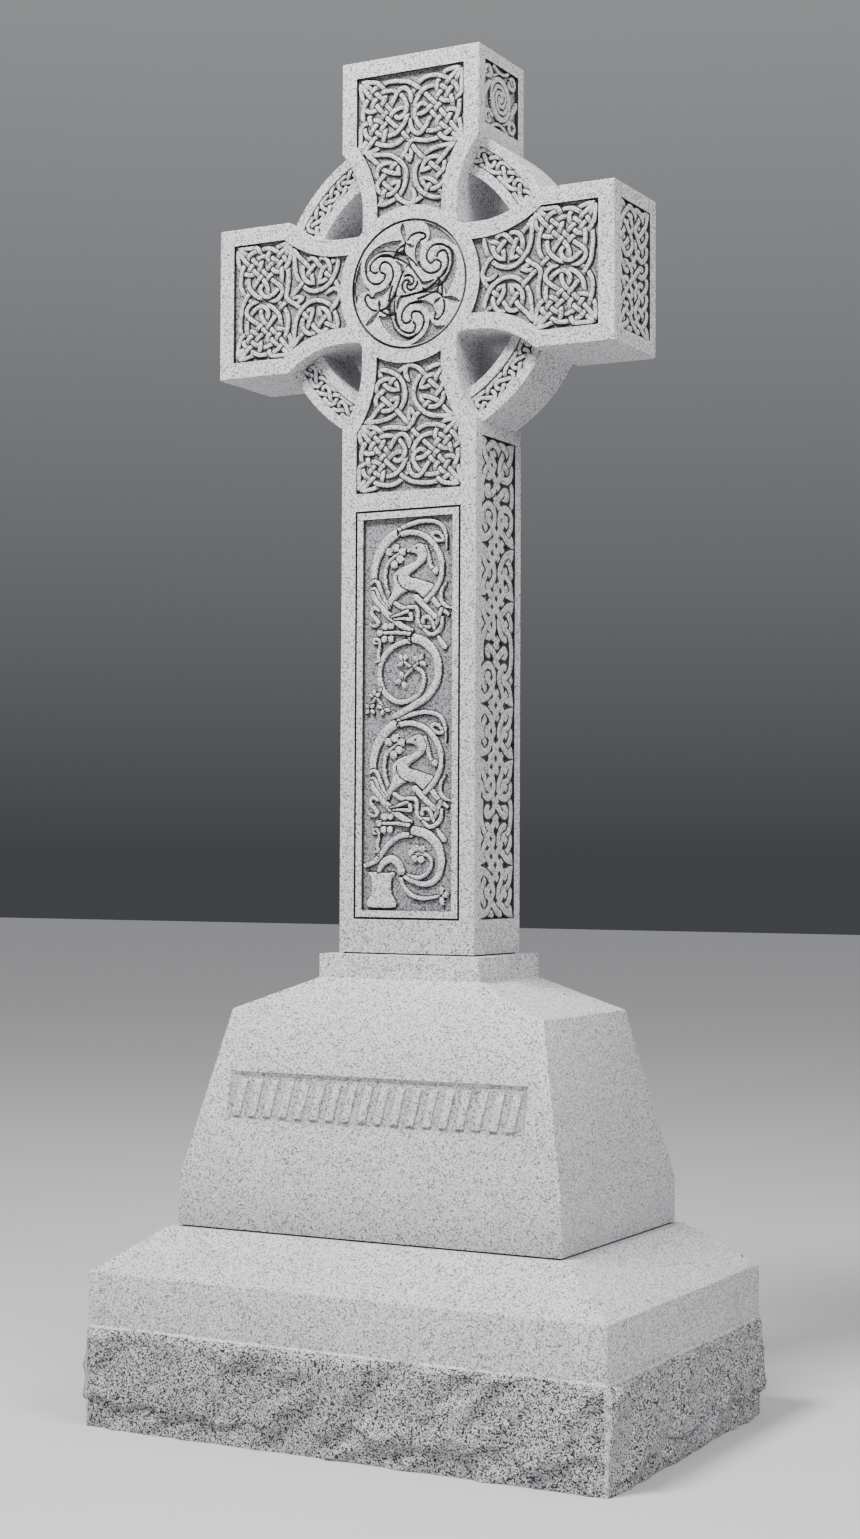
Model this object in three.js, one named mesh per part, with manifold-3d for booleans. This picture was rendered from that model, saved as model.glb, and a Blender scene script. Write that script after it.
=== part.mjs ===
// A granite Celtic cross gravestone of three stones set one on the other:
// a rock-pitched base stone, a tapering die stone and a ring-headed cross.
// Millimetres, +Z up, front towards -Y, origin under the middle of the base stone.

import * as THREE from "three";
import { mergeVertices } from "three/addons/utils/BufferGeometryUtils.js";
import Module from "manifold-3d";

const wasm = await Module();
wasm.setup();

// Base stone
const baseWidth = 1524;
const baseDepth = 1016;
const rockHeight = 269;
const rockBulge = 30;
const rockLip = 7;
const rockSpacing = 130;
const baseBandHeight = 139;
const baseWashHeight = 118;
const seatMargin = 22;

// Die stone, with its cap worked on the same block
const dieWidth = 1144;
const dieDepth = 726;
const dieBandHeight = 128;
const dieTaperHeight = 456;
const dieWashHeight = 88;
const capHeight = 64;
const shoulderWidth = 940;
const shoulderDepth = 516;
const capWidth = 488;
const capDepth = 356;

// Joint between two stones: a narrow rebate round the foot of the upper one
const jointHeight = 4;
const jointDepth = 9;

// Cross: shaft, arms and ring
const crossDepth = 272;
const shaftWidth = 414;
const armWidth = 424;
const headHeight = 1815;
const armReach = 609;
const topReach = 630;
const neckWidth = 292;
const neckEnd = 210;
const flareEnd = 380;
const armpitRadius = 20;
const ringOuterRadius = 437;
const ringInnerRadius = 335;
const ringRecess = 40;
const ringSides = 40;

// Sunk panels and the carving left standing in them
const armBorder = 46;
const sinkDepth = 12;
const carvingDrop = 3;
const carvingRoot = 2;
const headRimRadius = 215;
const roundelRadius = 174;
const grooveWidth = 6;
const grooveDepth = 6;
const ringPanelInner = 360;
const ringPanelOuter = 411;
const shaftPanelWidth = 276;
const shaftPanelFoot = 118;
const shaftPanelHeight = 1062;
const shaftFrame = 24;
const sidePanelWidth = 200;
const sidePanelFoot = 97;
const sidePanelHeight = 1297;
const endPanelBorder = 40;
const topSidePanelHeight = 174;
const topSidePanelDrop = 33;

// Strands of the interlace
const armStrand = 12;
const roundKnotRadius = 36;
const ringStrand = 10;
const ringChainLinks = 2;
const sideStrand = 20;
const sideCells = 8;
const armCells = 3;
const vineWidth = 18;
const stemWidth = 9;

// Inscription place: a row of plain raised strokes in a shallow sunk strip
const stripWidth = 872;
const stripHeight = 116;
const stripRise = 171;
const stripDepth = 7;
const strokeCount = 18;
const strokeWidth = 24;
const strokeHeight = 100;
const strokeLean = 7;

const dieFoot = rockHeight + baseBandHeight + baseWashHeight;
const crossFoot = dieFoot + dieBandHeight + dieTaperHeight + dieWashHeight + capHeight;
const headCentre = crossFoot + headHeight;
const halfDepth = crossDepth / 2;
const halfNeck = neckWidth / 2;
const overcut = 10;

// Turns a closed geometry into a solid that can be joined and cut.
function solidOf(geometry) {
  const bare = geometry.index ? geometry.toNonIndexed() : geometry.clone();
  bare.deleteAttribute("normal");
  bare.deleteAttribute("uv");
  const merged = mergeVertices(bare, 1e-3);
  return new wasm.Manifold(new wasm.Mesh({
    numProp: 3,
    vertProperties: new Float32Array(merged.attributes.position.array),
    triVerts: new Uint32Array(merged.index.array),
  }));
}

function joined(solids) {
  return wasm.Manifold.union(solids);
}

function meshOf(solid, name, material) {
  const tidy = solid.asOriginal().simplify(0.02);
  const data = tidy.getMesh();
  const geometry = new THREE.BufferGeometry();
  geometry.setAttribute("position", new THREE.BufferAttribute(data.vertProperties, 3));
  geometry.setIndex(new THREE.BufferAttribute(data.triVerts, 1));
  const flat = geometry.toNonIndexed();
  flat.computeVertexNormals();
  const mesh = new THREE.Mesh(flat, material);
  mesh.name = name;
  return mesh;
}

// A face to carve on: u runs right, v runs up and the third axis points out of the stone.
function faceFrame(origin, u, v) {
  const out = new THREE.Vector3().crossVectors(u, v);
  return new THREE.Matrix4().makeBasis(u, v, out).setPosition(origin);
}

function turned(frame, angle) {
  return frame.clone().multiply(new THREE.Matrix4().makeRotationZ(angle));
}

function prism(frame, outline, bottom, top, holes = []) {
  const shape = new THREE.Shape(outline.map(([u, v]) => new THREE.Vector2(u, v)));
  for (const hole of holes) {
    shape.holes.push(new THREE.Path(hole.map(([u, v]) => new THREE.Vector2(u, v))));
  }
  const geometry = new THREE.ExtrudeGeometry(shape, { depth: top - bottom, bevelEnabled: false });
  geometry.translate(0, 0, bottom);
  geometry.applyMatrix4(frame);
  return solidOf(geometry);
}

function rectangle(width, low, high) {
  return [[-width / 2, low], [width / 2, low], [width / 2, high], [-width / 2, high]];
}

// Points of an arc from one angle to another, in degrees.
function arc(centreU, centreV, radius, from, to, steps) {
  const points = [];
  for (let i = 0; i <= steps; i += 1) {
    const angle = THREE.MathUtils.degToRad(from + ((to - from) * i) / steps);
    points.push([centreU + radius * Math.cos(angle), centreV + radius * Math.sin(angle)]);
  }
  return points;
}

function circle(centreU, centreV, radius, sides) {
  return arc(centreU, centreV, radius, 0, 360, sides).slice(0, sides);
}

// From the middle of a strand to its edge at each point, along the mitre between its neighbours.
function mitres(path, width, closed) {
  const count = path.length;
  return path.map((point, i) => {
    const before = path[(i + count - 1) % count];
    const after = path[(i + 1) % count];
    const incoming = !closed && i === 0 ? normal(point, after) : normal(before, point);
    const outgoing = !closed && i === count - 1 ? normal(before, point) : normal(point, after);
    const spread = Math.max(1 + incoming[0] * outgoing[0] + incoming[1] * outgoing[1], 0.4);
    return [
      ((incoming[0] + outgoing[0]) / spread) * (width / 2),
      ((incoming[1] + outgoing[1]) / spread) * (width / 2),
    ];
  });
}

// Splits a strand into short prisms that meet on their mitres.
function ribbon(frame, path, width, bottom, top, closed = false) {
  const count = path.length;
  const side = mitres(path, width, closed);
  const pieces = [];
  for (let i = 0; i < (closed ? count : count - 1); i += 1) {
    const j = (i + 1) % count;
    const [a, b] = [path[i], path[j]];
    pieces.push(prism(frame, [
      [a[0] - side[i][0], a[1] - side[i][1]],
      [b[0] - side[j][0], b[1] - side[j][1]],
      [b[0] + side[j][0], b[1] + side[j][1]],
      [a[0] + side[i][0], a[1] + side[i][1]],
    ], bottom, top));
  }
  return pieces;
}

function normal(a, b) {
  const length = Math.hypot(b[0] - a[0], b[1] - a[1]);
  return [-(b[1] - a[1]) / length, (b[0] - a[0]) / length];
}

// Carving that stands in a sunk panel, a little below the face round it.
function standing(frame, path, width, closed = false) {
  return ribbon(frame, path, width, -sinkDepth - carvingRoot, -carvingDrop, closed);
}

function boss(frame, outline) {
  return prism(frame, outline, -sinkDepth - carvingRoot, -carvingDrop);
}

function sunk(frame, outline, depth = sinkDepth) {
  return prism(frame, outline, -depth, overcut);
}

function groove(frame, path, closed = false) {
  return ribbon(frame, path, grooveWidth, -grooveDepth, overcut, closed);
}

// Strands of a plait of cols by rows cells. They run diagonally, turn back at the edge and at the
// walls, and are drawn out to a point in the corners. Coordinates are in cells.
function plait(cols, rows, walls = () => null) {
  const seen = new Set();
  const strands = [];
  for (let startJ = 1; startJ < 2 * rows; startJ += 2) {
    for (const startStep of [1, -1]) {
      let [i, j, di, dj] = [0, startJ, 1, startStep];
      const points = [];
      let fresh = false;
      for (;;) {
        const key = `${i},${j},${di},${dj}`;
        const back = `${i + di},${j + dj},${-di},${-dj}`;
        if (seen.has(key) || seen.has(back)) break;
        seen.add(key);
        fresh = true;
        i += di;
        j += dj;
        const wall = walls(i, j);
        const turnI = i === 0 || i === 2 * cols || wall === "upright";
        const turnJ = j === 0 || j === 2 * rows || wall === "level";
        if (turnI) di = -di;
        if (turnJ) dj = -dj;
        if (turnI || turnJ) points.push([i / 2, j / 2]);
      }
      if (fresh) strands.push(points);
    }
  }
  return strands.map((points) => withTips(points, cols, rows));
}

// Where a strand would cut a corner off the panel, it runs out into the corner instead.
function withTips(points, cols, rows) {
  const reach = 0.12;
  const out = [];
  points.forEach((point, k) => {
    const next = points[(k + 1) % points.length];
    out.push(point);
    const cornerU = [point[0], next[0]].find((u) => u === 0 || u === cols);
    const cornerV = [point[1], next[1]].find((v) => v === 0 || v === rows);
    const close = Math.hypot(point[0] - next[0], point[1] - next[1]) < 0.8;
    if (close && cornerU !== undefined && cornerV !== undefined) {
      out.push([cornerU + (cornerU ? -reach : reach), cornerV + (cornerV ? -reach : reach)]);
    }
  });
  return out;
}

// A plait laid into a rectangle, with its outer strands touching the edge.
function plaitIn(frame, low, high, cols, rows, width, walls) {
  const start = low.map((value) => value + width / 2);
  const size = [high[0] - low[0] - width, high[1] - low[1] - width];
  return plait(cols, rows, walls).flatMap((strand) => standing(
    frame,
    strand.map(([u, v]) => [start[0] + (u / cols) * size[0], start[1] + (v / rows) * size[1]]),
    width,
    true,
  ));
}

// A block of level rectangles joined by plane faces, from the bottom up.
function steppedBlock(levels) {
  const corners = [[-1, -1], [1, -1], [1, 1], [-1, 1]];
  const points = levels.flatMap(([halfX, halfY, z]) => (
    corners.map(([x, y]) => [x * halfX, y * halfY, z])
  ));
  const faces = [[0, 2, 1], [0, 3, 2]];
  for (let level = 0; level < levels.length - 1; level += 1) {
    for (let k = 0; k < 4; k += 1) {
      const [a, b] = [4 * level + k, 4 * level + ((k + 1) % 4)];
      faces.push([a, b, b + 4], [a, b + 4, a + 4]);
    }
  }
  const last = 4 * (levels.length - 1);
  faces.push([last, last + 1, last + 2], [last, last + 2, last + 3]);
  return solidOf(geometryOf(points, faces));
}

function geometryOf(points, faces) {
  const geometry = new THREE.BufferGeometry();
  const positions = new Float32Array(faces.flat().flatMap((index) => points[index]));
  geometry.setAttribute("position", new THREE.BufferAttribute(positions, 3));
  return geometry;
}

// Rock-pitched foot of the base stone: four rough faces that swell out between straight arrises.
function rockFoot() {
  const rows = 3;
  const sides = [0, 1, 2, 3].map((turn) => (
    turn % 2 ? [baseDepth, baseWidth, turn] : [baseWidth, baseDepth, turn]
  ));
  const points = [];
  for (let row = 0; row <= rows; row += 1) {
    for (const [length, depth, turn] of sides) {
      const steps = Math.max(3, Math.round(length / rockSpacing));
      for (let step = 0; step < steps; step += 1) {
        const swell = rockSwell(row / rows, step / steps, turn % 2);
        const corner = step === 0 ? rockSwell(row / rows, 0, (turn + 1) % 2) : 0;
        const along = -length / 2 + (length * step) / steps - corner;
        const out = -depth / 2 - swell;
        const [x, y] = turnedPoint(along, out, turn);
        points.push([x, y, (rockHeight * row) / rows]);
      }
    }
  }
  const around = points.length / (rows + 1);
  const faces = [];
  for (let row = 0; row < rows; row += 1) {
    for (let k = 0; k < around; k += 1) {
      const [a, b] = [row * around + k, row * around + ((k + 1) % around)];
      faces.push([a, b, b + around], [a, b + around, a + around]);
    }
  }
  const bottom = points.push([0, 0, 0]) - 1;
  const top = points.push([0, 0, rockHeight]) - 1;
  for (let k = 0; k < around; k += 1) {
    const next = (k + 1) % around;
    faces.push([bottom, next, k], [top, rows * around + k, rows * around + next]);
  }
  return solidOf(geometryOf(points, faces));
}

// How far the rough face stands out: nothing random, and the full bulge once on each side.
function rockSwell(up, along, side) {
  if (up === 1) return rockLip;
  const wave = Math.sin(along * 23 + side * 2.1 + up * 5) * Math.sin(along * 9 + up * 11 + side);
  const hump = along === 0 ? 0.35 : 0.5 + 0.38 * wave;
  const crown = Math.abs(along - 0.5) < 0.07 && up > 0.3 && up < 0.4 ? 1 : hump;
  return rockBulge * Math.min(crown, 1);
}

function turnedPoint(x, y, quarter) {
  const turns = [[x, y], [-y, x], [-x, -y], [y, -x]];
  return turns[quarter];
}

function baseStone() {
  const block = steppedBlock([
    [baseWidth / 2, baseDepth / 2, rockHeight / 2],
    [baseWidth / 2, baseDepth / 2, rockHeight + baseBandHeight],
    [dieWidth / 2 + seatMargin, dieDepth / 2 + seatMargin, dieFoot],
  ]);
  return joined([rockFoot(), block]);
}

function dieStone() {
  const levels = [
    [dieWidth / 2 - jointDepth, dieDepth / 2 - jointDepth, 0],
    [dieWidth / 2 - jointDepth, dieDepth / 2 - jointDepth, jointHeight],
    [dieWidth / 2, dieDepth / 2, jointHeight],
    [dieWidth / 2, dieDepth / 2, dieBandHeight],
    [shoulderWidth / 2, shoulderDepth / 2, dieBandHeight + dieTaperHeight],
    [capWidth / 2, capDepth / 2, dieBandHeight + dieTaperHeight + dieWashHeight],
    [capWidth / 2, capDepth / 2, dieBandHeight + dieTaperHeight + dieWashHeight + capHeight],
  ].map(([x, y, z]) => [x, y, z + dieFoot]);
  const slope = new THREE.Vector3(0, (dieDepth - shoulderDepth) / 2, dieTaperHeight).normalize();
  const origin = new THREE.Vector3(0, -dieDepth / 2, dieFoot + dieBandHeight);
  const face = faceFrame(origin, new THREE.Vector3(1, 0, 0), slope);
  const strip = sunk(face, rectangle(stripWidth, stripRise, stripRise + stripHeight), stripDepth);
  return joined([steppedBlock(levels).subtract(strip), ...inscriptionStrokes(face)]);
}

function inscriptionStrokes(face) {
  const spacing = stripWidth / strokeCount;
  const low = stripRise + (stripHeight - strokeHeight) / 2;
  const strokes = [];
  for (let k = 0; k < strokeCount; k += 1) {
    const middle = -stripWidth / 2 + spacing * (k + 0.5);
    const foot = [middle - strokeLean, low];
    const head = [middle + strokeLean, low + strokeHeight];
    strokes.push(prism(face, [
      [foot[0] - strokeWidth / 2, foot[1]],
      [foot[0] + strokeWidth / 2, foot[1]],
      [head[0] + strokeWidth / 2, head[1]],
      [head[0] - strokeWidth / 2, head[1]],
    ], -stripDepth - carvingRoot, 0));
  }
  return strokes;
}

// Half-width of an arm at a distance out from the middle of the head, set in by a border.
function armHalf(u, half, border) {
  const rise = half - halfNeck;
  const run = flareEnd - neckEnd;
  const radius = (run * run + rise * rise) / (2 * rise);
  if (u <= neckEnd) return halfNeck - border;
  const lift = halfNeck + radius - Math.sqrt(Math.max((radius + border) ** 2 - (u - neckEnd) ** 2, 0));
  return Math.min(lift, half - border);
}

// Where the flare, set in by a border, meets the straight side of the arm.
function flareMeets(half, border) {
  const rise = half - halfNeck;
  const run = flareEnd - neckEnd;
  const radius = (run * run + rise * rise) / (2 * rise);
  return neckEnd + Math.sqrt((radius + border) ** 2 - (radius - rise + border) ** 2);
}

// One side of an arm from the armpit out to its end, for v above zero.
function armSide(half, reach) {
  const steps = 5;
  const centre = halfNeck + armpitRadius;
  const side = arc(centre, centre, armpitRadius, 225, 270, 2);
  for (let k = 0; k <= steps; k += 1) {
    const u = neckEnd + ((flareEnd - neckEnd) * k) / steps;
    side.push([u, armHalf(u, half, 0)]);
  }
  side.push([reach, half]);
  return side;
}

function crossOutline() {
  const arms = [
    [armWidth / 2, armReach],
    [armWidth / 2, topReach],
    [armWidth / 2, armReach],
    [shaftWidth / 2, headHeight],
  ];
  const outline = [];
  arms.forEach(([half, reach], quarter) => {
    const upper = armSide(half, reach);
    const lower = upper.map(([u, v]) => [u, -v]);
    const edge = [...lower, ...upper.reverse().slice(0, -1)];
    outline.push(...edge.map(([u, v]) => turnedPoint(u, v, quarter)));
  });
  return outline;
}

// The ring with its sunk band and the chain in it, on both faces, before the arms join it.
function ringBody(middle) {
  const thick = halfDepth - ringRecess;
  const body = prism(middle, circle(0, 0, ringOuterRadius, ringSides), -thick, thick,
    [circle(0, 0, ringInnerRadius, ringSides)]);
  const band = circle(0, 0, ringPanelOuter, ringSides);
  const core = circle(0, 0, ringPanelInner, ringSides);
  const cuts = [
    prism(middle, band, thick - sinkDepth, thick + overcut, [core]),
    prism(middle, band, -thick - overcut, -thick + sinkDepth, [core]),
  ];
  const recessed = middle.clone().multiply(new THREE.Matrix4().makeTranslation(0, 0, thick));
  return joined([body.subtract(joined(cuts)), ...ringChain(recessed)]);
}

// Two strands that cross over each other round each quarter of the ring.
function ringChain(face) {
  const middleRadius = (ringPanelInner + ringPanelOuter) / 2;
  const swing = (ringPanelOuter - ringPanelInner - ringStrand) / 2;
  const halfAngle = 90 - THREE.MathUtils.radToDeg(Math.asin(armWidth / 2 / middleRadius)) - 45 + 2;
  const steps = 2 * ringChainLinks;
  const pieces = [];
  for (let quarter = 0; quarter < 4; quarter += 1) {
    for (const way of [1, -1]) {
      const path = [];
      for (let k = 0; k <= steps; k += 1) {
        const angle = 45 + 90 * quarter + halfAngle * ((2 * k) / steps - 1);
        const radius = middleRadius + swing * way * (k % 2 ? -1 : 1);
        path.push(arc(0, 0, radius, angle, angle, 1)[0]);
      }
      pieces.push(...standing(face, path, ringStrand));
    }
  }
  return pieces;
}

// Outline of the sunk panel on an arm. Its inner end follows the rim round the middle of the head.
function armPanelOutline(half, reach) {
  const steps = 3;
  const inner = halfNeck - armBorder;
  const rimAngle = THREE.MathUtils.radToDeg(Math.asin(inner / headRimRadius));
  const meets = flareMeets(half, armBorder);
  const side = [];
  for (let k = 0; k <= steps; k += 1) {
    const u = neckEnd + ((meets - neckEnd) * k) / steps;
    side.push([u, armHalf(u, half, armBorder)]);
  }
  side.push([reach, half - armBorder]);
  return [
    ...arc(0, 0, headRimRadius, rimAngle, -rimAngle, 4),
    ...side.map(([u, v]) => [u, -v]),
    ...side.reverse(),
  ];
}

// Interlace of one arm: a broad plait of two round knots, and two ring knots in the neck.
function armCarving(face, half, end) {
  const width = half - armBorder;
  const start = flareMeets(half, armBorder);
  const walls = (i, j) => (j === 2 * armCells && i !== armCells ? "level" : null);
  const carving = plaitIn(face, [start, -width], [end, width], armCells, 2 * armCells, armStrand, walls);
  for (const way of [1, -1]) {
    const centre = [(headRimRadius + start) / 2 - 4, way * (halfNeck - armBorder) * 0.62];
    carving.push(...ringKnot(face, centre, roundKnotRadius, way));
  }
  return carving;
}

// A ring with a strand crossing it and running out beyond.
function ringKnot(face, [u, v], radius, way) {
  const reach = radius * 1.25;
  const pieces = standing(face, circle(u, v, radius, 8), armStrand, true);
  pieces.push(...standing(face, [
    [u - reach * 0.9, v - way * reach * 0.7],
    [u + reach * 0.9, v + way * reach * 0.7],
  ], armStrand));
  return pieces;
}

// Middle of the head: a grooved circle holding three spirals that wind together.
function roundelGrooves(face) {
  const cuts = groove(face, circle(0, 0, roundelRadius, 24), true);
  const spiralCentre = 0.6 * roundelRadius;
  const spiralSize = 0.3 * roundelRadius;
  for (const middle of [35, 155, 275]) {
    const [cu, cv] = arc(0, 0, spiralCentre, middle, middle, 1)[0];
    const path = [];
    for (let k = 0; k <= 6; k += 1) {
      const share = k / 6;
      const angle = middle - 150 + 400 * share;
      path.push(arc(cu, cv, spiralSize * (0.25 + 0.75 * share), angle, angle, 1)[0]);
    }
    cuts.push(...groove(face, path));
  }
  return cuts;
}

// Front of the shaft: a vine that coils up from a pot, round two beasts and one spray of leaves.
function vineCarving(face, low, high) {
  const height = high - low;
  const at = (u, v) => [u * (shaftPanelWidth / 2), low + v * height];
  const coil = 0.094 * height;
  const pieces = [];
  const coils = [
    [0, 0.18, 300, 20],
    [-0.02, 0.395, 120, 440],
    [0.02, 0.6, -150, 200],
    [-0.02, 0.88, 120, 440],
  ];
  for (const [u, v, from, to] of coils) {
    const [cu, cv] = at(u, v);
    pieces.push(...standing(face, arc(cu, cv, coil, from, to, 8), vineWidth));
  }
  for (const v of [0.395, 0.88]) pieces.push(...beast(face, at(0, v), coil));
  pieces.push(...sprig(face, at(0, 0.6), coil));
  pieces.push(...sprig(face, at(0.05, 0.18), coil * 0.7));
  const neck = [[0.25, 0.3], [0.75, 0.27], [0.7, 0.15], [0.5, 0.09], [0, 0.11], [-0.3, 0.1]];
  const tendril = [[-0.1, 0.08], [0.2, 0.035], [0.7, 0.03]];
  const pot = [[-0.9, 0.01], [-0.25, 0.01], [-0.35, 0.055], [-0.28, 0.095], [-0.88, 0.095], [-0.8, 0.055]];
  pieces.push(...standing(face, neck.map(([u, v]) => at(u, v)), vineWidth));
  pieces.push(...standing(face, tendril.map(([u, v]) => at(u, v)), stemWidth));
  pieces.push(boss(face, pot.map(([u, v]) => at(u, v))));
  return pieces;
}

// A bird-headed beast striding in a coil of the vine, its legs crossing the stem.
function beast(face, [u, v], size) {
  const at = ([a, b]) => [u + a * size, v + b * size];
  const body = [[-0.45, -0.1], [0.1, -0.3], [0.65, -0.25], [0.5, 0.05]];
  const neckAndHead = [[0.1, 0.1], [0.1, 0.4], [-0.1, 0.5], [-0.2, 0.2]];
  const limbs = [
    [[-0.1, 0.42], [0.3, 0.45], [0.55, 0.1]],
    [[-0.35, -0.1], [-0.6, -0.6], [-1, -0.3], [-0.6, -0.9], [0.3, -1.4]],
    [[0.2, -0.3], [0.9, -0.95], [0.6, -1.3], [0.3, -1], [1.1, -0.5]],
  ];
  const berries = [[-0.55, 0.45], [-0.35, 0.6], [-0.4, 0.25]];
  return [
    boss(face, [...body, ...neckAndHead].map(at)),
    ...limbs.flatMap((limb) => standing(face, limb.map(at), stemWidth)),
    ...berries.map((berry) => boss(face, circle(...at(berry), size * 0.13, 6))),
  ];
}

// A stem with two small leaves.
function sprig(face, [u, v], size) {
  const at = (a, b) => [u + a * size, v + b * size];
  const leaf = (a, b) => boss(face, [at(a - 0.28, b), at(a, b - 0.18), at(a + 0.28, b), at(a, b + 0.18)]);
  return [
    ...standing(face, [at(0.5, -0.7), at(0.35, -0.2), at(0, 0)], stemWidth),
    leaf(-0.3, 0.25),
    leaf(0.3, 0.35),
  ];
}

// Side of the shaft: one long panel of plait.
function sideCarving(face, low, high) {
  const half = sidePanelWidth / 2;
  const walls = (i, j) => (j % 6 === 4 && i === 1 ? "level" : null);
  return plaitIn(face, [-half, low], [half, high], 2, sideCells, sideStrand, walls);
}

// End of a side arm: two bands that cross the panel, with a loop hooked round each.
function endCarving(face, width, height) {
  const bands = [
    [[-0.85, -0.9], [-0.2, -0.15], [0.85, 0.6], [0.3, 0.92], [-0.7, 0.8], [-0.75, 0.3], [0.1, 0.1]],
    [[0.2, 0.55], [-0.35, 0.6], [-0.3, 0.3], [0.5, 0.25], [0.88, -0.1]],
  ];
  return [1, -1].flatMap((way) => bands.flatMap((band) => {
    const path = band.map(([u, v]) => [(way * u * width) / 2, (way * v * height) / 2]);
    return standing(face, path, stemWidth);
  }));
}

// Side of the top arm: a round spiral with a hooked scroll in each corner.
function spiralCarving(face, height) {
  const radius = 0.33 * height;
  const pieces = standing(face, circle(0, 0, radius, 8), stemWidth, true);
  const turn = [];
  for (let k = 0; k <= 6; k += 1) {
    const angle = 80 * k;
    turn.push(arc(0, 0, radius * (0.14 + 0.09 * k), angle, angle, 1)[0]);
  }
  pieces.push(...standing(face, turn, stemWidth));
  for (const [u, v] of [[-1, -1], [1, -1], [1, 1], [-1, 1]]) {
    const centre = [u * 0.42 * sidePanelWidth, v * 0.36 * height];
    pieces.push(...standing(face, arc(...centre, 0.09 * height, 0, 270, 3), stemWidth));
  }
  return pieces;
}

function crossStone() {
  const X = new THREE.Vector3(1, 0, 0);
  const Z = new THREE.Vector3(0, 0, 1);
  const Y = new THREE.Vector3(0, 1, 0);
  const middle = faceFrame(new THREE.Vector3(0, 0, headCentre), X, Z);
  const front = faceFrame(new THREE.Vector3(0, -halfDepth, headCentre), X, Z);
  const back = faceFrame(new THREE.Vector3(0, halfDepth, headCentre), X.clone().negate(), Z);
  const foot = faceFrame(new THREE.Vector3(0, 0, crossFoot), X, Y);
  const beyond = rectangle(shaftWidth + 2 * overcut, -halfDepth - overcut, halfDepth + overcut);
  const seat = rectangle(shaftWidth - 2 * jointDepth, jointDepth - halfDepth, halfDepth - jointDepth);
  const rebate = prism(foot, beyond, -overcut, jointHeight, [seat]);
  const body = joined([prism(middle, crossOutline(), -halfDepth, halfDepth), ringBody(middle)]);

  const cuts = [rebate];
  const carving = [];
  const arms = [
    [armWidth / 2, armReach - armBorder],
    [armWidth / 2, topReach - armBorder],
    [armWidth / 2, armReach - armBorder],
    [shaftWidth / 2, armReach - armBorder],
  ];
  arms.forEach(([half, end], quarter) => {
    for (const face of [front, back]) {
      cuts.push(sunk(turned(face, (quarter * Math.PI) / 2), armPanelOutline(half, end)));
    }
    carving.push(...armCarving(turned(front, (quarter * Math.PI) / 2), half, end));
  });
  cuts.push(...roundelGrooves(front));

  const shaftLow = shaftPanelFoot - headHeight;
  const shaftHigh = shaftLow + shaftPanelHeight;
  const frameWidth = shaftPanelWidth + 2 * shaftFrame;
  for (const face of [front, back]) {
    cuts.push(sunk(face, rectangle(shaftPanelWidth, shaftLow, shaftHigh)));
    cuts.push(...groove(face, rectangle(frameWidth, shaftLow - shaftFrame, shaftHigh + shaftFrame), true));
  }
  carving.push(...vineCarving(front, shaftLow, shaftHigh));

  const sideLow = sidePanelFoot - headHeight;
  const sideHigh = sideLow + sidePanelHeight;
  const endWidth = crossDepth - 2 * endPanelBorder;
  const endHeight = armWidth - 2 * endPanelBorder;
  const topLow = topReach - topSidePanelDrop - topSidePanelHeight;
  for (const way of [1, -1]) {
    const across = Y.clone().multiplyScalar(way);
    const shaftSide = faceFrame(new THREE.Vector3((way * shaftWidth) / 2, 0, headCentre), across, Z);
    cuts.push(sunk(shaftSide, rectangle(sidePanelWidth, sideLow, sideHigh)));
    carving.push(...sideCarving(shaftSide, sideLow, sideHigh));

    const armEnd = faceFrame(new THREE.Vector3(way * armReach, 0, headCentre), across, Z);
    cuts.push(sunk(armEnd, rectangle(endWidth, -endHeight / 2, endHeight / 2)));
    carving.push(...endCarving(armEnd, endWidth, endHeight));

    const topHalf = topSidePanelHeight / 2;
    const topMiddle = new THREE.Vector3((way * armWidth) / 2, 0, headCentre + topLow + topHalf);
    const topSide = faceFrame(topMiddle, across, Z);
    cuts.push(sunk(topSide, rectangle(sidePanelWidth, -topHalf, topHalf)));
    carving.push(...spiralCarving(topSide, topSidePanelHeight));
  }
  return joined([body.subtract(joined(cuts)), ...carving]);
}

// Fine-punched light grey granite, and the darker broken face of the base stone.
const granite = new THREE.MeshStandardMaterial({ color: "#c6c6c8", roughness: 0.85, metalness: 0 });
const baseGranite = new THREE.MeshStandardMaterial({ color: "#b4b4b7", roughness: 0.9, metalness: 0 });

const group = new THREE.Group();
group.add(meshOf(baseStone(), "base_stone", baseGranite));
group.add(meshOf(dieStone(), "die_stone", granite));
group.add(meshOf(crossStone(), "cross", granite));

export default group;
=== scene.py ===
"""A granite Celtic cross gravestone: rock-pitched base stone, tapering die stone, ring-headed cross.

Blender works in metres, +Z up, front towards -Y. Sizes below are in millimetres unless they say
otherwise, and mm() turns them to metres. Each stone is one piece, and the carving in its sunk
panels rides with it.
"""

import math

import bpy
import numpy as np
from mathutils import Matrix, Vector, noise


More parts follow.
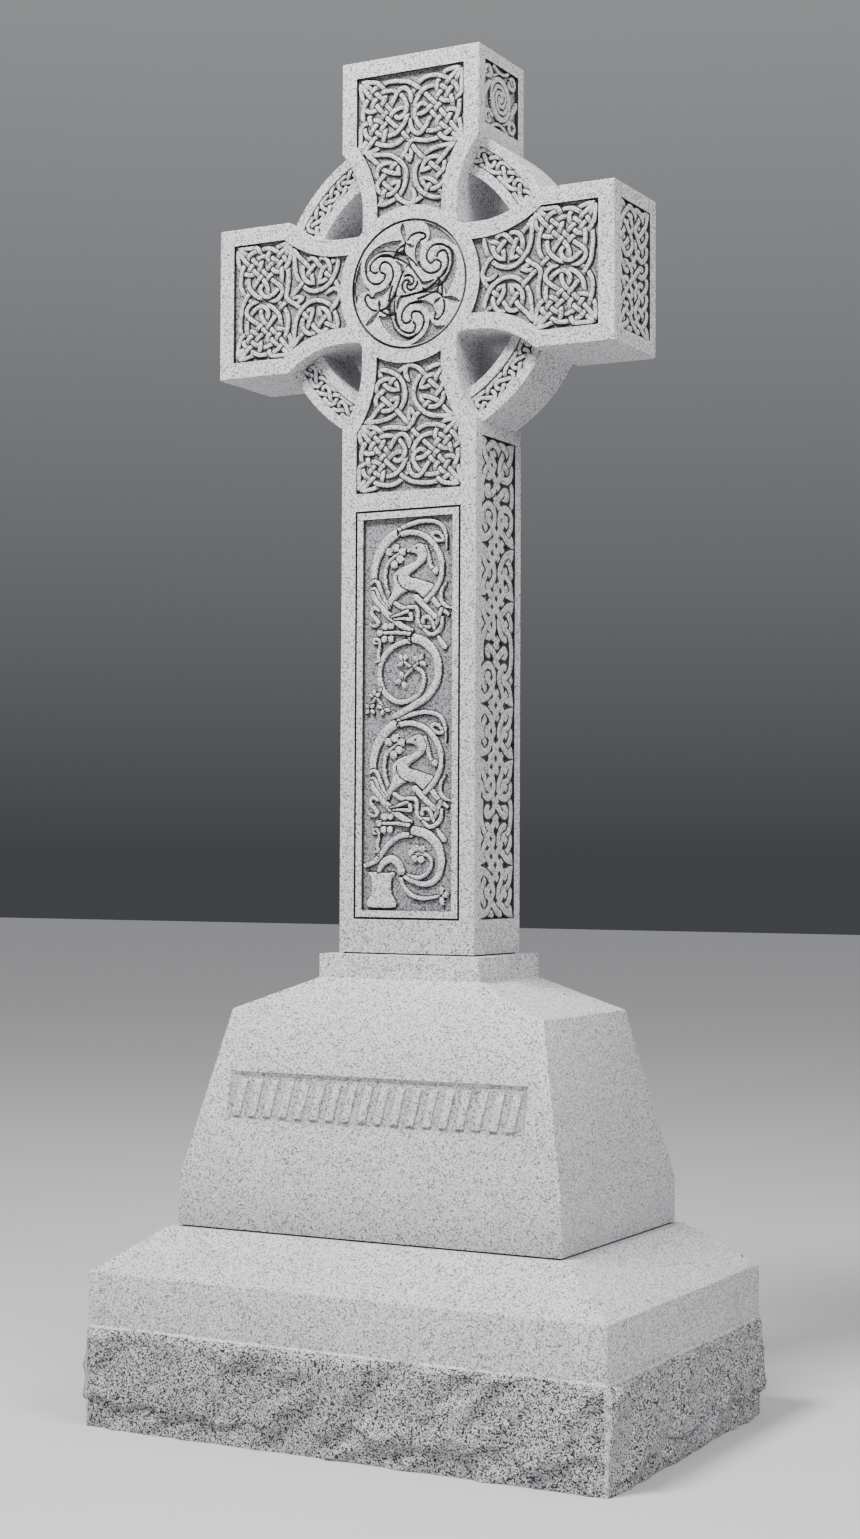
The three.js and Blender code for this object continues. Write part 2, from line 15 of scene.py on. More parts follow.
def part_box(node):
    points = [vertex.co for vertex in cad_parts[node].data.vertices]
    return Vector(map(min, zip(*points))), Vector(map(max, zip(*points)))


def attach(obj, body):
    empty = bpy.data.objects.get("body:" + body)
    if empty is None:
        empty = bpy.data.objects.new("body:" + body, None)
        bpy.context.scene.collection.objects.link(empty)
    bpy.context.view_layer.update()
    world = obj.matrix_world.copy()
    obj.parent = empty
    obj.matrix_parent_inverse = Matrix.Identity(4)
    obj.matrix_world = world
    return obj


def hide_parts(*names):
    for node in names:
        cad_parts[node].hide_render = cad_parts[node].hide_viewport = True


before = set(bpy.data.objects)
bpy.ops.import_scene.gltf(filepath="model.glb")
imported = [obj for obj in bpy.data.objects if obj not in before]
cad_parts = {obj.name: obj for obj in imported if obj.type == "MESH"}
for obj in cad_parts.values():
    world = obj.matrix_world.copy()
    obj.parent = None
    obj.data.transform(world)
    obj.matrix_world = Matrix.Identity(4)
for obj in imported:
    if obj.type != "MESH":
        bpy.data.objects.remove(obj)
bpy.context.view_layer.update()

# Sizes of the stones, read from the frame where it holds them
base_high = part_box("base_stone")[1]
die_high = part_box("die_stone")[1]
cross_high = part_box("cross")[1]


def mm(value):
    return value * 0.001


def to_mm(value):
    return value * 1000


BASE_TOP = to_mm(base_high.z)
DIE_TOP = to_mm(die_high.z)
CROSS_TOP = to_mm(cross_high.z)
HALF_DEPTH = to_mm(cross_high.y)
ARM_REACH = to_mm(cross_high.x)

# Base stone
BAND_WIDTH, BAND_DEPTH = 1524, 1016
ROCK_TOP, BAND_TOP = 269, 408
SEAT_MARGIN = 22
ROCK_GRAIN = 5
ROCK_LIP, ROCK_REACH = 2.5, 29
ROCK_SEED = 3
ROCK_HOLLOWS = ((250, 46), (105, 15))
ROCK_TOP_EDGE, ROCK_CORNER_EDGE = 26, 22
UNDERCUT_HEIGHT, UNDERCUT_RANGE, UNDERCUT_LENGTH, UNDERCUT_DEPTH = 62, 60, 130, 15
ROCK_SEAM_GAP = 0.5

# Die stone
DIE_WIDTH, DIE_DEPTH = to_mm(die_high.x) * 2, to_mm(die_high.y) * 2
DIE_BAND = 128
DIE_TAPER = 456
DIE_WASH = 88
SHOULDER_WIDTH, SHOULDER_DEPTH = 940, 516
CAP_WIDTH, CAP_DEPTH = 488, 356
JOINT_HEIGHT, JOINT_DEPTH = 4, 9
ARRIS, ARRIS_ANGLE = 2.5, 35
CHIP_HALVES = (3.5, 7, 4)
DIE_CHIP, BASE_CHIP = (351.4, 118.4, 1156.2), (726.5, 469.1, 432.9)

# Inscription place on the front of the die stone
STRIP_WIDTH, STRIP_HEIGHT, STRIP_RISE, STRIP_DEPTH, STRIP_SLOPE = 872, 116, 171, 7, 12
STROKES, STROKE_WIDTH, STROKE_HEIGHT, STROKE_LEAN, STROKE_ROUND = 18, 24, 100, 7, 3.5

# Cross
SHAFT_HALF, ARM_HALF, NECK_HALF = 207, 212, 146
TOP_REACH = 630
HEAD_CENTRE = CROSS_TOP - TOP_REACH
HEAD_HEIGHT = HEAD_CENTRE - DIE_TOP
NECK_END, FLARE_END = 210, 380
ARMPIT_RADIUS = 20
RING_OUTER, RING_INNER, RING_RECESS = 437, 335, 40
RING_PANEL_OUTER, RING_PANEL_INNER = 411, 360
RING_SIDES, RING_SEAM_GAP = 192, 0.05

# Sunk panels
SINK = 12
ARM_BORDER = 46
RIM_RADIUS = 215
ROUNDEL_RADIUS = 174
ROUNDEL_GROOVE = 7
GROOVE = 6
SHAFT_PANEL_HALF, SHAFT_PANEL_FOOT, SHAFT_PANEL_HEIGHT = 138, 118, 1062
SHAFT_FRAME = 24
SIDE_PANEL_HALF, SIDE_PANEL_FOOT, SIDE_PANEL_HEIGHT = 100, 97, 1297
SHAFT_PANEL_LOW = SHAFT_PANEL_FOOT - HEAD_HEIGHT
SHAFT_PANEL_TOP = SHAFT_PANEL_LOW + SHAFT_PANEL_HEIGHT
SIDE_PANEL_LOW = SIDE_PANEL_FOOT - HEAD_HEIGHT
SIDE_PANEL_TOP = SIDE_PANEL_LOW + SIDE_PANEL_HEIGHT
END_BORDER = 40
TOP_SIDE_HEIGHT, TOP_SIDE_DROP = 174, 33

# Carving: a strand is rounded on top, dips under its neighbour and is rooted below the ground
ROOT = SINK + 2
STRAND_TOP = -3
CUT_SHARE, CUT_MOST = 0.27, 6
DIP, LIFT = 5.5, 1.2
STRAND_STEP, CURVE_STEPS = 4, 8
ARM_STRAND, RING_STRAND, SIDE_STRAND = 11.6, 10.6, 20
END_STRAND, ARM_BACK_STRAND, SHAFT_BACK_STRAND = 15, 20, 48
SIDE_RELIEF, END_RELIEF = 0.55, 0.6
SEAM_GAP = 0.002

# Strands that meet a little past the ends of their steps still cross, and a crossing counts once
MEET_REACH, SAME_SPOT, SAME_BEND = 0.52, 4, 4

# Section of a strand, as drops below its top, with the flanks of the cut beside it, which are painted dark
# as shadow
CUT_DROP, CUT_FOOT, RAISED_CUT_DROP, RIM_DROP, SHOULDER_DROP = 5, 7.5, 5.2, 4, 1
SHOULDER_SHARE, ROOT_DRAFT = 0.78, 0.6
SHADOW_PAINTED_COLUMNS = 2

# A tip is drawn out over so many widths, down to a share of the width
TIP_LENGTH, TIP_SHARE = 1.5, 0.3

# Reliefs worked as height fields
RELIEF_STEP, ROUNDEL_STEP, PLAIN_STEP = 2, 1.6, 12
PATH_STEP, OUTLINE_STEP = 8, 6
FORM_CUT_DROP = 7

FRONT = (Vector((1, 0, 0)), Vector((0, 0, 1)))
BACK = (Vector((-1, 0, 0)), Vector((0, 0, 1)))
RIGHT = (Vector((0, 1, 0)), Vector((0, 0, 1)))
LEFT = (Vector((0, -1, 0)), Vector((0, 0, 1)))


# Working with the selection

def deselect():
    if bpy.context.object and bpy.context.object.mode != "OBJECT":
        bpy.ops.object.mode_set(mode="OBJECT")
    bpy.ops.object.select_all(action="DESELECT")


def pick(piece):
    deselect()
    piece.select_set(True)
    bpy.context.view_layer.objects.active = piece


def apply_modifiers(piece):
    pick(piece)
    for modifier in list(piece.modifiers):
        bpy.ops.object.modifier_apply(modifier=modifier.name)


def join(pieces, name):
    pick(pieces[0])
    for piece in pieces[1:]:
        piece.select_set(True)
    bpy.ops.object.join()
    pieces[0].name = name
    return pieces[0]


def copied(piece, name, move):
    """A copy with its own mesh, laid in another place."""
    twin = piece.copy()
    twin.data = piece.data.copy()
    twin.name = name
    twin.data.transform(move)
    bpy.context.collection.objects.link(twin)
    return twin


def combine(stone, other, operation):
    """Joins another solid to a stone, or cuts it out, and keeps each solid's own finish."""
    modifier = stone.modifiers.new("combine", "BOOLEAN")
    modifier.operation = operation
    modifier.object = other
    modifier.solver = "EXACT"
    modifier.material_mode = "TRANSFER"
    apply_modifiers(stone)
    bpy.data.objects.remove(other)
    return stone


def soften(piece, width=ARRIS, segments=2):
    """Wears the arrises of a stone to a small round."""
    modifier = piece.modifiers.new("arris", "BEVEL")
    modifier.width = mm(width)
    modifier.segments = segments
    modifier.limit_method = "ANGLE"
    modifier.angle_limit = math.radians(ARRIS_ANGLE)
    apply_modifiers(piece)


def chip(stone, place):
    """Cuts a small dark chip out of the surface of a stone."""
    deselect()
    bpy.ops.mesh.primitive_ico_sphere_add(subdivisions=2, radius=1)
    cutter = bpy.context.object
    there = Matrix.Translation(Vector(place) * 0.001)
    cutter.data.transform(there @ Matrix.Diagonal((*map(mm, CHIP_HALVES), 1)))
    # The hollow of the chip is painted dark like the cuts: painted shadow, with some weathering
    finish(cutter, CUT_SHADOW_AND_WEATHERING)
    return combine(stone, cutter, "DIFFERENCE")


def start_edit(piece):
    """Opens a piece in edit mode with all of it selected."""
    pick(piece)
    bpy.ops.object.mode_set(mode="EDIT")
    bpy.ops.mesh.select_all(action="SELECT")


def face_outwards():
    """Turns all faces of the open piece outwards and leaves edit mode."""
    bpy.ops.mesh.select_all(action="SELECT")
    bpy.ops.mesh.normals_make_consistent(inside=False)
    bpy.ops.object.mode_set(mode="OBJECT")


def merge(piece, distance):
    start_edit(piece)
    bpy.ops.mesh.remove_doubles(threshold=mm(distance))
    bpy.ops.object.mode_set(mode="OBJECT")


# Materials

def linear(code):
    """Turns an sRGB hex colour into Blender's linear values."""
    parts = [int(code[i:i + 2], 16) / 255 for i in (1, 3, 5)]
    return [*(p / 12.92 if p <= 0.04045 else ((p + 0.055) / 1.055) ** 2.4 for p in parts), 1.0]


def add(tree, kind, inputs=None, **settings):
    """Adds a node, sets it and links the sockets that are given another node's output."""
    node = tree.nodes.new(kind)
    for key, value in settings.items():
        setattr(node, key, value)
    for key, value in (inputs or {}).items():
        if isinstance(value, bpy.types.NodeSocket):
            tree.links.new(value, node.inputs[key])
        else:
            node.inputs[key].default_value = value
    return node


def ramp(tree, factor, stops):
    node = add(tree, "ShaderNodeValToRGB", {"Fac": factor})
    elements = node.color_ramp.elements
    while len(elements) < len(stops):
        elements.new(0.5)
    for element, (place, colour) in zip(elements, stops):
        element.position = place
        element.color = colour if isinstance(colour, list) else [colour, colour, colour, 1]
    return node.outputs["Color"]


def granite(name, quartz, feldspar, mica, grain, mica_share, roughness, bump):
    """Granite: pale feldspar and grey quartz grains with dark mica flecks between them.

    The grain is in millimetres. The real grains are 2 to 3 mm wide and are drawn 3 to 4 mm wide, so
    that they still show.
    """
    material = bpy.data.materials.new(name)
    material.use_nodes = True
    tree = material.node_tree
    tree.nodes.clear()
    place = add(tree, "ShaderNodeTexCoord").outputs["Object"]
    per_metre = 1000 / grain
    grains = add(tree, "ShaderNodeTexNoise", {"Vector": place, "Scale": per_metre * 0.8, "Detail": 2.0})
    flecks = add(tree, "ShaderNodeTexVoronoi", {"Vector": place, "Scale": per_metre})
    cloud = add(tree, "ShaderNodeTexNoise", {"Vector": place, "Scale": 2.2, "Detail": 4.0})
    tone = ramp(tree, grains.outputs["Fac"], [(0.36, linear(quartz)), (0.62, linear(feldspar))])
    clouded = add(tree, "ShaderNodeMix", {
        "Factor": 0.12, 6: tone, 7: ramp(tree, cloud.outputs["Fac"], [(0.35, 0.35), (0.65, 1.0)]),
    }, data_type="RGBA", blend_type="MULTIPLY")
    red = add(tree, "ShaderNodeSeparateColor", {"Color": flecks.outputs["Color"]}).outputs["Red"]
    dark = ramp(tree, red, [(mica_share, 1.0), (mica_share + 0.03, 0.0)])
    colour = add(tree, "ShaderNodeMix", {
        "Factor": dark, 6: clouded.outputs[2], 7: linear(mica),
    }, data_type="RGBA")
    pits = add(tree, "ShaderNodeTexNoise", {"Vector": place, "Scale": per_metre * 0.6, "Detail": 3.0})
    relief = add(tree, "ShaderNodeBump", {
        "Height": pits.outputs["Fac"], "Distance": mm(bump), "Strength": 1.0,
    })
    shader = add(tree, "ShaderNodeBsdfPrincipled", {
        "Base Color": colour.outputs[2], "Roughness": roughness, "IOR": 1.54,
        "Normal": relief.outputs["Normal"],
    })
    add(tree, "ShaderNodeOutputMaterial", {"Surface": shader.outputs["BSDF"]})
    return material


def plain(name, colour, roughness):
    material = bpy.data.materials.new(name)
    material.use_nodes = True
    shader = material.node_tree.nodes["Principled BSDF"]
    shader.inputs["Base Color"].default_value = linear(colour)
    shader.inputs["Roughness"].default_value = roughness
    return material


# Dressed with a fine axe: the bruised grains look pale and even
FINE_AXED = granite("fine_axed_granite", "#aeaeb0", "#dfdfe1", "#6c6c72", 3, 0.22, 0.82, 0.5)
# Sunk grounds are stippled with a point, which leaves them rough and greyer, and their colour is darkened
# further as painted shade for the shade in the recesses
PUNCHED_GROUND_AND_SHADE = granite("punched_ground_and_painted_shade", "#7c7c7f", "#a8a8ab", "#4a4a4e", 3.2, 0.3, 0.9, 2.5)
# Round the inscription the ground is only stippled, and nearly as pale as the face
STIPPLED = granite("stippled_granite", "#9d9d9f", "#c4c4c6", "#66666a", 3.2, 0.26, 0.88, 1.5)
# The narrow cuts beside the carving are painted almost black: painted shadow for the shade in them, with
# some weathering
CUT_SHADOW_AND_WEATHERING = granite("cut_painted_shadow_and_weathering", "#252527", "#3c3c3e", "#18181a", 3.2, 0.3, 0.95, 1.5)
# Broken off with a pitching tool: clean broken grains, with dark mica among pale feldspar
ROCK_PITCHED = granite("rock_pitched_granite", "#7e7e81", "#d6d6d8", "#222225", 3, 0.37, 0.88, 1.2)


def finish(piece, *materials):
    piece.data.materials.clear()
    for material in materials:
        piece.data.materials.append(material)
    return piece


def finish_parts(piece, main, second, is_second):
    """Gives a piece its main finish, and the second one on the faces that a test picks."""
    finish(piece, main, second)
    for polygon in piece.data.polygons:
        polygon.material_index = int(is_second(polygon))
    return piece


def read_points(piece):
    places = np.empty(len(piece.data.vertices) * 3)
    piece.data.vertices.foreach_get("co", places)
    return places.reshape(-1, 3).T


def lay_points(piece, places):
    piece.data.vertices.foreach_set("co", (places * 0.001).ravel())


# Shapes

def face_at(origin, directions):
    """A face to carve on: u runs right, v runs up and the third axis points out of the stone."""
    u, v = directions
    out = u.cross(v)
    matrix = Matrix((u, v, out)).transposed().to_4x4()
    matrix.translation = Vector(origin) * 0.001
    return matrix


def turned(face, quarter):
    return face @ Matrix.Rotation(quarter * math.pi / 2, 4, "Z")


def arc(centre_u, centre_v, radius, start, end, steps, widening=0):
    """Points along an arc between two angles in degrees. With a widening it is a spiral."""
    points = []
    for step in range(steps + 1):
        angle = math.radians(start + (end - start) * step / steps)
        reach = radius + widening * step / steps
        points.append((centre_u + reach * math.cos(angle), centre_v + reach * math.sin(angle)))
    return points


def circle(centre_u, centre_v, radius, sides):
    return arc(centre_u, centre_v, radius, 0, 360, sides)[:-1]


def rectangle(half, low, high):
    return [(-half, low), (half, low), (half, high), (-half, high)]


def flat_face(name, outline, level):
    """A flat face with the given outline at a level, open in edit mode."""
    deselect()
    bpy.ops.mesh.primitive_circle_add(vertices=len(outline), radius=1, fill_type="NGON")
    piece = bpy.context.object
    piece.name = name
    for vertex, (u, v) in zip(piece.data.vertices, outline):
        vertex.co = (mm(u), mm(v), mm(level))
    start_edit(piece)
    return piece


def raised(piece, height, face):
    """Extrudes an open flat piece to a height and lays it on a face."""
    bpy.ops.mesh.select_all(action="SELECT")
    bpy.ops.mesh.extrude_region_move(TRANSFORM_OT_translate={"value": (0, 0, mm(height))})
    face_outwards()
    piece.data.transform(face)
    return piece


def plate(name, outline, low, high, face):
    """A flat shape with the given outline, standing from low to high above a face."""
    return raised(flat_face(name, outline, low), high - low, face)


def stepped_block(name, levels):
    """A block of level rectangles: the first is drawn, and each next one is extruded and resized."""
    half_x, half_y, z = levels[0]
    deselect()
    bpy.ops.mesh.primitive_plane_add(size=2)
    piece = bpy.context.object
    piece.name = name
    for vertex in piece.data.vertices:
        vertex.co = (vertex.co.x * mm(half_x), vertex.co.y * mm(half_y), mm(z))
    start_edit(piece)
    for before, after in zip(levels, levels[1:]):
        rise = {"value": (0, 0, mm(after[2] - before[2]))}
        bpy.ops.mesh.extrude_region_move(TRANSFORM_OT_translate=rise)
        bpy.ops.transform.resize(
            value=(after[0] / before[0], after[1] / before[1], 1), center_override=(0, 0, 0),
        )
    face_outwards()
    return piece


def close_rims(piece, drop=None):
    """Fills each open rim of a shell, and first draws the rim down by a drop, if one is given."""
    start_edit(piece)
    bpy.ops.mesh.select_all(action="DESELECT")
    bpy.ops.mesh.select_non_manifold()
    if drop is not None:
        bpy.ops.mesh.extrude_edges_move(TRANSFORM_OT_translate={"value": (0, 0, 0)})
        bpy.ops.transform.resize(value=(1, 1, 0), center_override=(0, 0, 0))
        bpy.ops.transform.translate(value=(0, 0, mm(drop)))
        bpy.ops.mesh.edge_face_add()
    else:
        bpy.ops.mesh.fill_holes(sides=0)
    face_outwards()


# Interlace

def spaced(points, closed=False, step=STRAND_STEP):
    """Runs a soft curve through the points and sets out even steps along it."""
    points = np.array(points, float)
    if closed:
        held = np.vstack([points[-1:], points, points[:2]])
    else:
        held = np.vstack([2 * points[0] - points[1], points, 2 * points[-1] - points[-2]])
    shares = np.linspace(0, 1, CURVE_STEPS + 1)[:-1, None]
    pieces = []
    for a, b, c, d in zip(held, held[1:], held[2:], held[3:]):
        pieces.append(0.5 * (
            2 * b + (c - a) * shares + (2 * a - 5 * b + 4 * c - d) * shares**2
            + (3 * b - a - 3 * c + d) * shares**3
        ))
    curve = np.vstack(pieces + [held[-2:-1]])
    run = np.concatenate([[0], np.cumsum(np.hypot(*np.diff(curve, axis=0).T))])
    count = max(2, round(run[-1] / step))
    marks = np.linspace(0, run[-1], count + 1)
    if closed:
        marks = marks[:-1]
    return np.column_stack([np.interp(marks, run, curve[:, k]) for k in (0, 1)])


def strand(sections, closed=False, ends=("under", "under")):
    """A strand of soft curves that meet in sharp tips. An open end is tucked under or runs to a leaf."""
    if len(sections) == 1:
        return {"path": spaced(sections[0], closed), "tips": [], "closed": closed, "ends": ends}
    path = []
    tips = []
    for section in sections:
        run = spaced(section)
        path.extend(run[:-1])
        tips.append(len(path))
    if closed:
        tips[-1] = 0
    else:
        path.append(run[-1])
        tips.pop()
    return {"path": np.array(path), "tips": tips, "closed": closed, "ends": ends}


def crossings(strands):
    """Finds where strands cross. Each crossing is two passes: a strand and a place along its path."""
    starts = []
    ends = []
    owners = []
    for number, item in enumerate(strands):
        path = item["path"]
        after = np.roll(path, -1, axis=0)
        count = len(path) if item["closed"] else len(path) - 1
        starts.append(path[:count])
        ends.append(after[:count])
        owners += [(number, place, len(path)) for place in range(count)]
    start = np.vstack(starts)
    way = np.vstack(ends) - start
    across = way[:, None, 0] * way[None, :, 1] - way[:, None, 1] * way[None, :, 0]
    gap = start[None] - start[:, None]
    across = np.where(np.abs(across) < 1e-9, 1e-9, across)
    share = (gap[..., 0] * way[None, :, 1] - gap[..., 1] * way[None, :, 0]) / across
    other = (gap[..., 0] * way[:, None, 1] - gap[..., 1] * way[:, None, 0]) / across
    meets = (np.abs(share - 0.5) < MEET_REACH) & (np.abs(other - 0.5) < MEET_REACH)
    found = []
    known = np.full((1, 2), 1e6)
    for a, b in zip(*np.nonzero(np.triu(meets, 1))):
        (first, place, length), (second, place_b, _) = owners[a], owners[b]
        apart = abs(place - place_b)
        spot = start[a] + share[a, b] * way[a]
        twice = np.hypot(*(known - spot).T).min() < SAME_SPOT
        if twice or (first == second and min(apart, length - apart) < SAME_BEND):
            continue
        known = np.vstack([known, spot])
        found.append(((first, place + share[a, b]), (second, place_b + other[a, b])))
    return found


def weave(strands):
    """Lets every strand pass over and under by turns. Gives each strand its passes as (place, over)."""
    found = crossings(strands)
    order = {}
    for number in range(len(strands)):
        own = sorted(
            (place, crossing, side)
            for crossing, pair in enumerate(found)
            for side, (owner, place) in enumerate(pair)
            if owner == number
        )
        for turn, (_, crossing, side) in enumerate(own):
            order[crossing, side] = turn % 2
    first = {}
    while len(first) < len(strands):
        links = {number: [] for number in range(len(strands)) if number not in first}
        for crossing, pair in enumerate(found):
            for side in (0, 1):
                owner, neighbour = pair[side][0], pair[1 - side][0]
                if owner in links and neighbour in first:
                    turns = order[crossing, 0] + order[crossing, 1] + first[neighbour]
                    links[owner].append(1 if turns % 2 == 0 else -1)
        chosen = max(links, key=lambda number: len(links[number]))
        first[chosen] = 1 if sum(links[chosen]) > 0 else 0
    passes = [[] for _ in strands]
    for crossing, pair in enumerate(found):
        under = (first[pair[0][0]] + order[crossing, 0]) % 2
        for side, (owner, place) in enumerate(pair):
            passes[owner].append((place, bool(under) == bool(side)))
    return passes


def tube(rings, closed, face):
    """Lays a primitive along a path: the rings of a sphere for a strand, a rolled up grid for a loop."""
    count, around = rings.shape[:2]
    deselect()
    if closed:
        bpy.ops.mesh.primitive_grid_add(x_subdivisions=count, y_subdivisions=around, size=2)
    else:
        bpy.ops.mesh.primitive_uv_sphere_add(segments=around, ring_count=count + 1, radius=1)
    piece = bpy.context.object
    x, y, z = read_points(piece)
    if closed:
        row = np.round((x + 1) / 2 * count).astype(int) % count
        column = np.round((y + 1) / 2 * around).astype(int) % around
    else:
        row = np.round(np.arccos(np.clip(z, -1, 1)) / math.pi * (count + 1)).astype(int) - 1
        column = np.round(np.arctan2(y, x) / math.tau * around).astype(int) % around
    held = np.clip(row, 0, count - 1)
    pole = (row < 0) | (row >= count)
    laid = np.where(pole[:, None], rings.mean(axis=1)[held], rings[held, column])
    lay_points(piece, laid)
    # The faces in the flank columns, down in the cut beside the strand, are painted dark as shadow
    on_top = pole | ((column >= SHADOW_PAINTED_COLUMNS) & (column < around - SHADOW_PAINTED_COLUMNS))
    finish_parts(piece, FINE_AXED, CUT_SHADOW_AND_WEATHERING, lambda part: not on_top[list(part.vertices)].all())
    if closed:
        merge(piece, SEAM_GAP)
    piece.data.transform(face)
    return piece


def pointed(item, width):
    """Half-width along a strand: it is drawn out thin into each tip and each leaf end."""
    path = item["path"]
    count = len(path)
    place = np.arange(count)
    near = np.full(count, 1e3)
    for tip in item["tips"]:
        apart = np.abs(place - tip)
        near = np.minimum(near, np.minimum(apart, count - apart) if item["closed"] else apart)
    for end, kind in zip((0, count - 1), item["ends"]):
        if kind == "leaf" and not item["closed"]:
            near = np.minimum(near, np.abs(place - end))
    reach = np.clip(near * STRAND_STEP / (TIP_LENGTH * width), 0, 1)
    return width / 2 * (TIP_SHARE + (1 - TIP_SHARE) * np.sin(reach * math.pi / 2))


def cut_width(width):
    """How wide the cut beside a strand is, whose flanks are painted dark as shadow."""
    return min(CUT_SHARE * width, CUT_MOST)


def pass_height(apart, width):
    """1 across the strand that is crossed and beside it, then falling softly to 0."""
    flat = width / 2 + 0.8 * cut_width(width)
    share = np.clip(1 - (apart - flat) / (0.4 * width + 2), 0, 1)
    return share * share * (3 - 2 * share)


def lay_strand(item, passes, width, face, relief=1):
    path = item["path"]
    closed = item["closed"]
    count = len(path)
    ahead = np.roll(path, -1, axis=0) - path
    behind = path - np.roll(path, 1, axis=0)
    if not closed:
        ahead[-1] = behind[-1]
        behind[0] = ahead[0]
    ahead /= np.maximum(np.hypot(*ahead.T), 1e-6)[:, None]
    behind /= np.maximum(np.hypot(*behind.T), 1e-6)[:, None]
    spread = np.maximum(1 + (ahead * behind).sum(axis=1), 0.5)
    both = ahead + behind
    side = np.column_stack([-both[:, 1], both[:, 0]]) / spread[:, None]
    half = pointed(item, width)
    rise = np.zeros(count)
    dips = np.zeros(count)
    place = np.arange(count)
    for where, over in passes:
        apart = np.abs(place - where)
        if closed:
            apart = np.minimum(apart, count - apart)
        bump = pass_height(apart * STRAND_STEP, width)
        if over:
            rise = np.maximum(rise, bump)
        else:
            dips = np.maximum(dips, bump)
    for end, kind in zip((0, count - 1), item["ends"]):
        if kind == "under" and not closed:
            dips = np.maximum(dips, pass_height(np.abs(place - end) * STRAND_STEP, width))
    top = STRAND_TOP + LIFT * rise - DIP * relief * dips
    foot = np.minimum(top - CUT_DROP * relief, STRAND_TOP - CUT_FOOT * relief)
    edge = half + cut_width(width)
    flank = [
        (edge + ROOT_DRAFT, -ROOT),
        (edge, foot + (top - RAISED_CUT_DROP * relief - foot) * rise),
        (half, top - RIM_DROP * relief),
        (half * SHOULDER_SHARE, top - SHOULDER_DROP * relief),
        (half * 0, top),
    ]
    profile = [(-out, height) for out, height in flank] + flank[-2::-1]
    rings = np.empty((count, len(profile), 3))
    for k, (out, height) in enumerate(profile):
        rings[:, k, :2] = path + side * out[:, None]
        rings[:, k, 2] = height
    return tube(rings, closed, face)


def carve_strands(name, strands, width, face, relief=1):
    """Carves strands of one width. A relief below 1 keeps them flatter, with shallower cuts."""
    passes = weave(strands)
    pieces = [lay_strand(item, own, width, face, relief) for item, own in zip(strands, passes)]
    piece = join(pieces, name)
    start_edit(piece)
    face_outwards()
    return piece


def plait(cols, rows, walls, low, high, shift, tip=3):
    """Strands of a plait on a lattice of half cells, laid between two corners.

    They run diagonally and cross at each lattice point, and turn back at the edge and at the walls,
    which stand upright or level. In a corner of the edge a strand is drawn out into a tip.
    """
    width, height = 2 * cols, 2 * rows
    size = ((high[0] - low[0]) / width, (high[1] - low[1]) / height)

    def wall(i, j):
        if i in (0, width):
            return "upright"
        return "level" if j in (0, height) else walls.get((i, j))

    seen = set()
    strands = []
    for start in ((a, b) for a in range(width) for b in range(height)):
        if start in seen:
            continue
        rising = sum(start) % 2
        i, j, step_i, step_j = start[0], start[1] + 1 - rising, 1, 1 if rising else -1
        stops = []
        while (min(i, i + step_i), min(j, j + step_j)) not in seen:
            seen.add((min(i, i + step_i), min(j, j + step_j)))
            i += step_i
            j += step_j
            kind = wall(i, j)
            u = low[0] + i * size[0] - (step_i * shift if kind == "upright" else 0)
            v = low[1] + j * size[1] - (step_j * shift if kind == "level" else 0)
            stops.append((i, j, kind, (u, v)))
            if kind == "upright":
                step_i = -step_i
            if kind == "level":
                step_j = -step_j
        strands.append(plait_strand(stops, width, low, size, tip))
    return strands


def plait_strand(stops, width, low, size, tip):
    """Turns the stops of one closed strand into soft curves, with a tip at each corner of the edge."""
    sections = [[]]
    for before, stop in zip(stops[-1:] + stops[:-1], stops):
        upright, level = (before, stop) if before[2] == "upright" else (stop, before)
        if (upright[2], level[2]) == ("upright", "level") and upright[0] in (0, width):
            inward = (1 if upright[0] == 0 else -1, 1 if upright[1] > level[1] else -1)
            corner = (
                low[0] + upright[0] * size[0] + inward[0] * tip,
                low[1] + level[1] * size[1] + inward[1] * tip,
            )
            sections[-1].append(corner)
            sections.append([corner])
        sections[-1].append(stop[3])
    if len(sections) == 1:
        return strand(sections, closed=True)
    sections[0] = sections.pop() + sections[0]
    return strand(sections, closed=True)


# Relief worked as a height field

def canvas(u, v, ground):
    """A grid of places to carve, with the height of each and whether it is a cut, which is painted dark as
    shadow.
    """
    return {
        "u": u, "v": v, "height": np.full(u.shape, float(ground)),
        "cut": np.zeros(u.shape, bool), "ground": ground,
    }


def spots_within(work, low, high):
    u, v = work["u"], work["v"]
    return np.nonzero((u > low[0]) & (u < high[0]) & (v > low[1]) & (v < high[1]))


def off_segment(u, v, a, b):
    """How far places are from a straight piece of a path, and how far along it they lie."""
    way = b - a
    share = np.clip(((u - a[0]) * way[0] + (v - a[1]) * way[1]) / (way @ way + 1e-9), 0, 1)
    return np.hypot(u - a[0] - share * way[0], v - a[1] - share * way[1]), share


def near_path(work, points, reach):
    """The spots within reach of a path, with how far they are from it and how far along they lie."""
    path = spaced(points, step=PATH_STEP)
    spots = spots_within(work, path.min(axis=0) - reach, path.max(axis=0) + reach)
    u, v = work["u"][spots], work["v"][spots]
    best = np.full(u.shape, 1e6)
    along = np.zeros(u.shape)
    for k, (a, b) in enumerate(zip(path, path[1:])):
        apart, share = off_segment(u, v, a, b)
        closer = apart < best
        best[closer] = apart[closer]
        along[closer] = (k + share[closer]) / (len(path) - 1)
    return spots, best, along


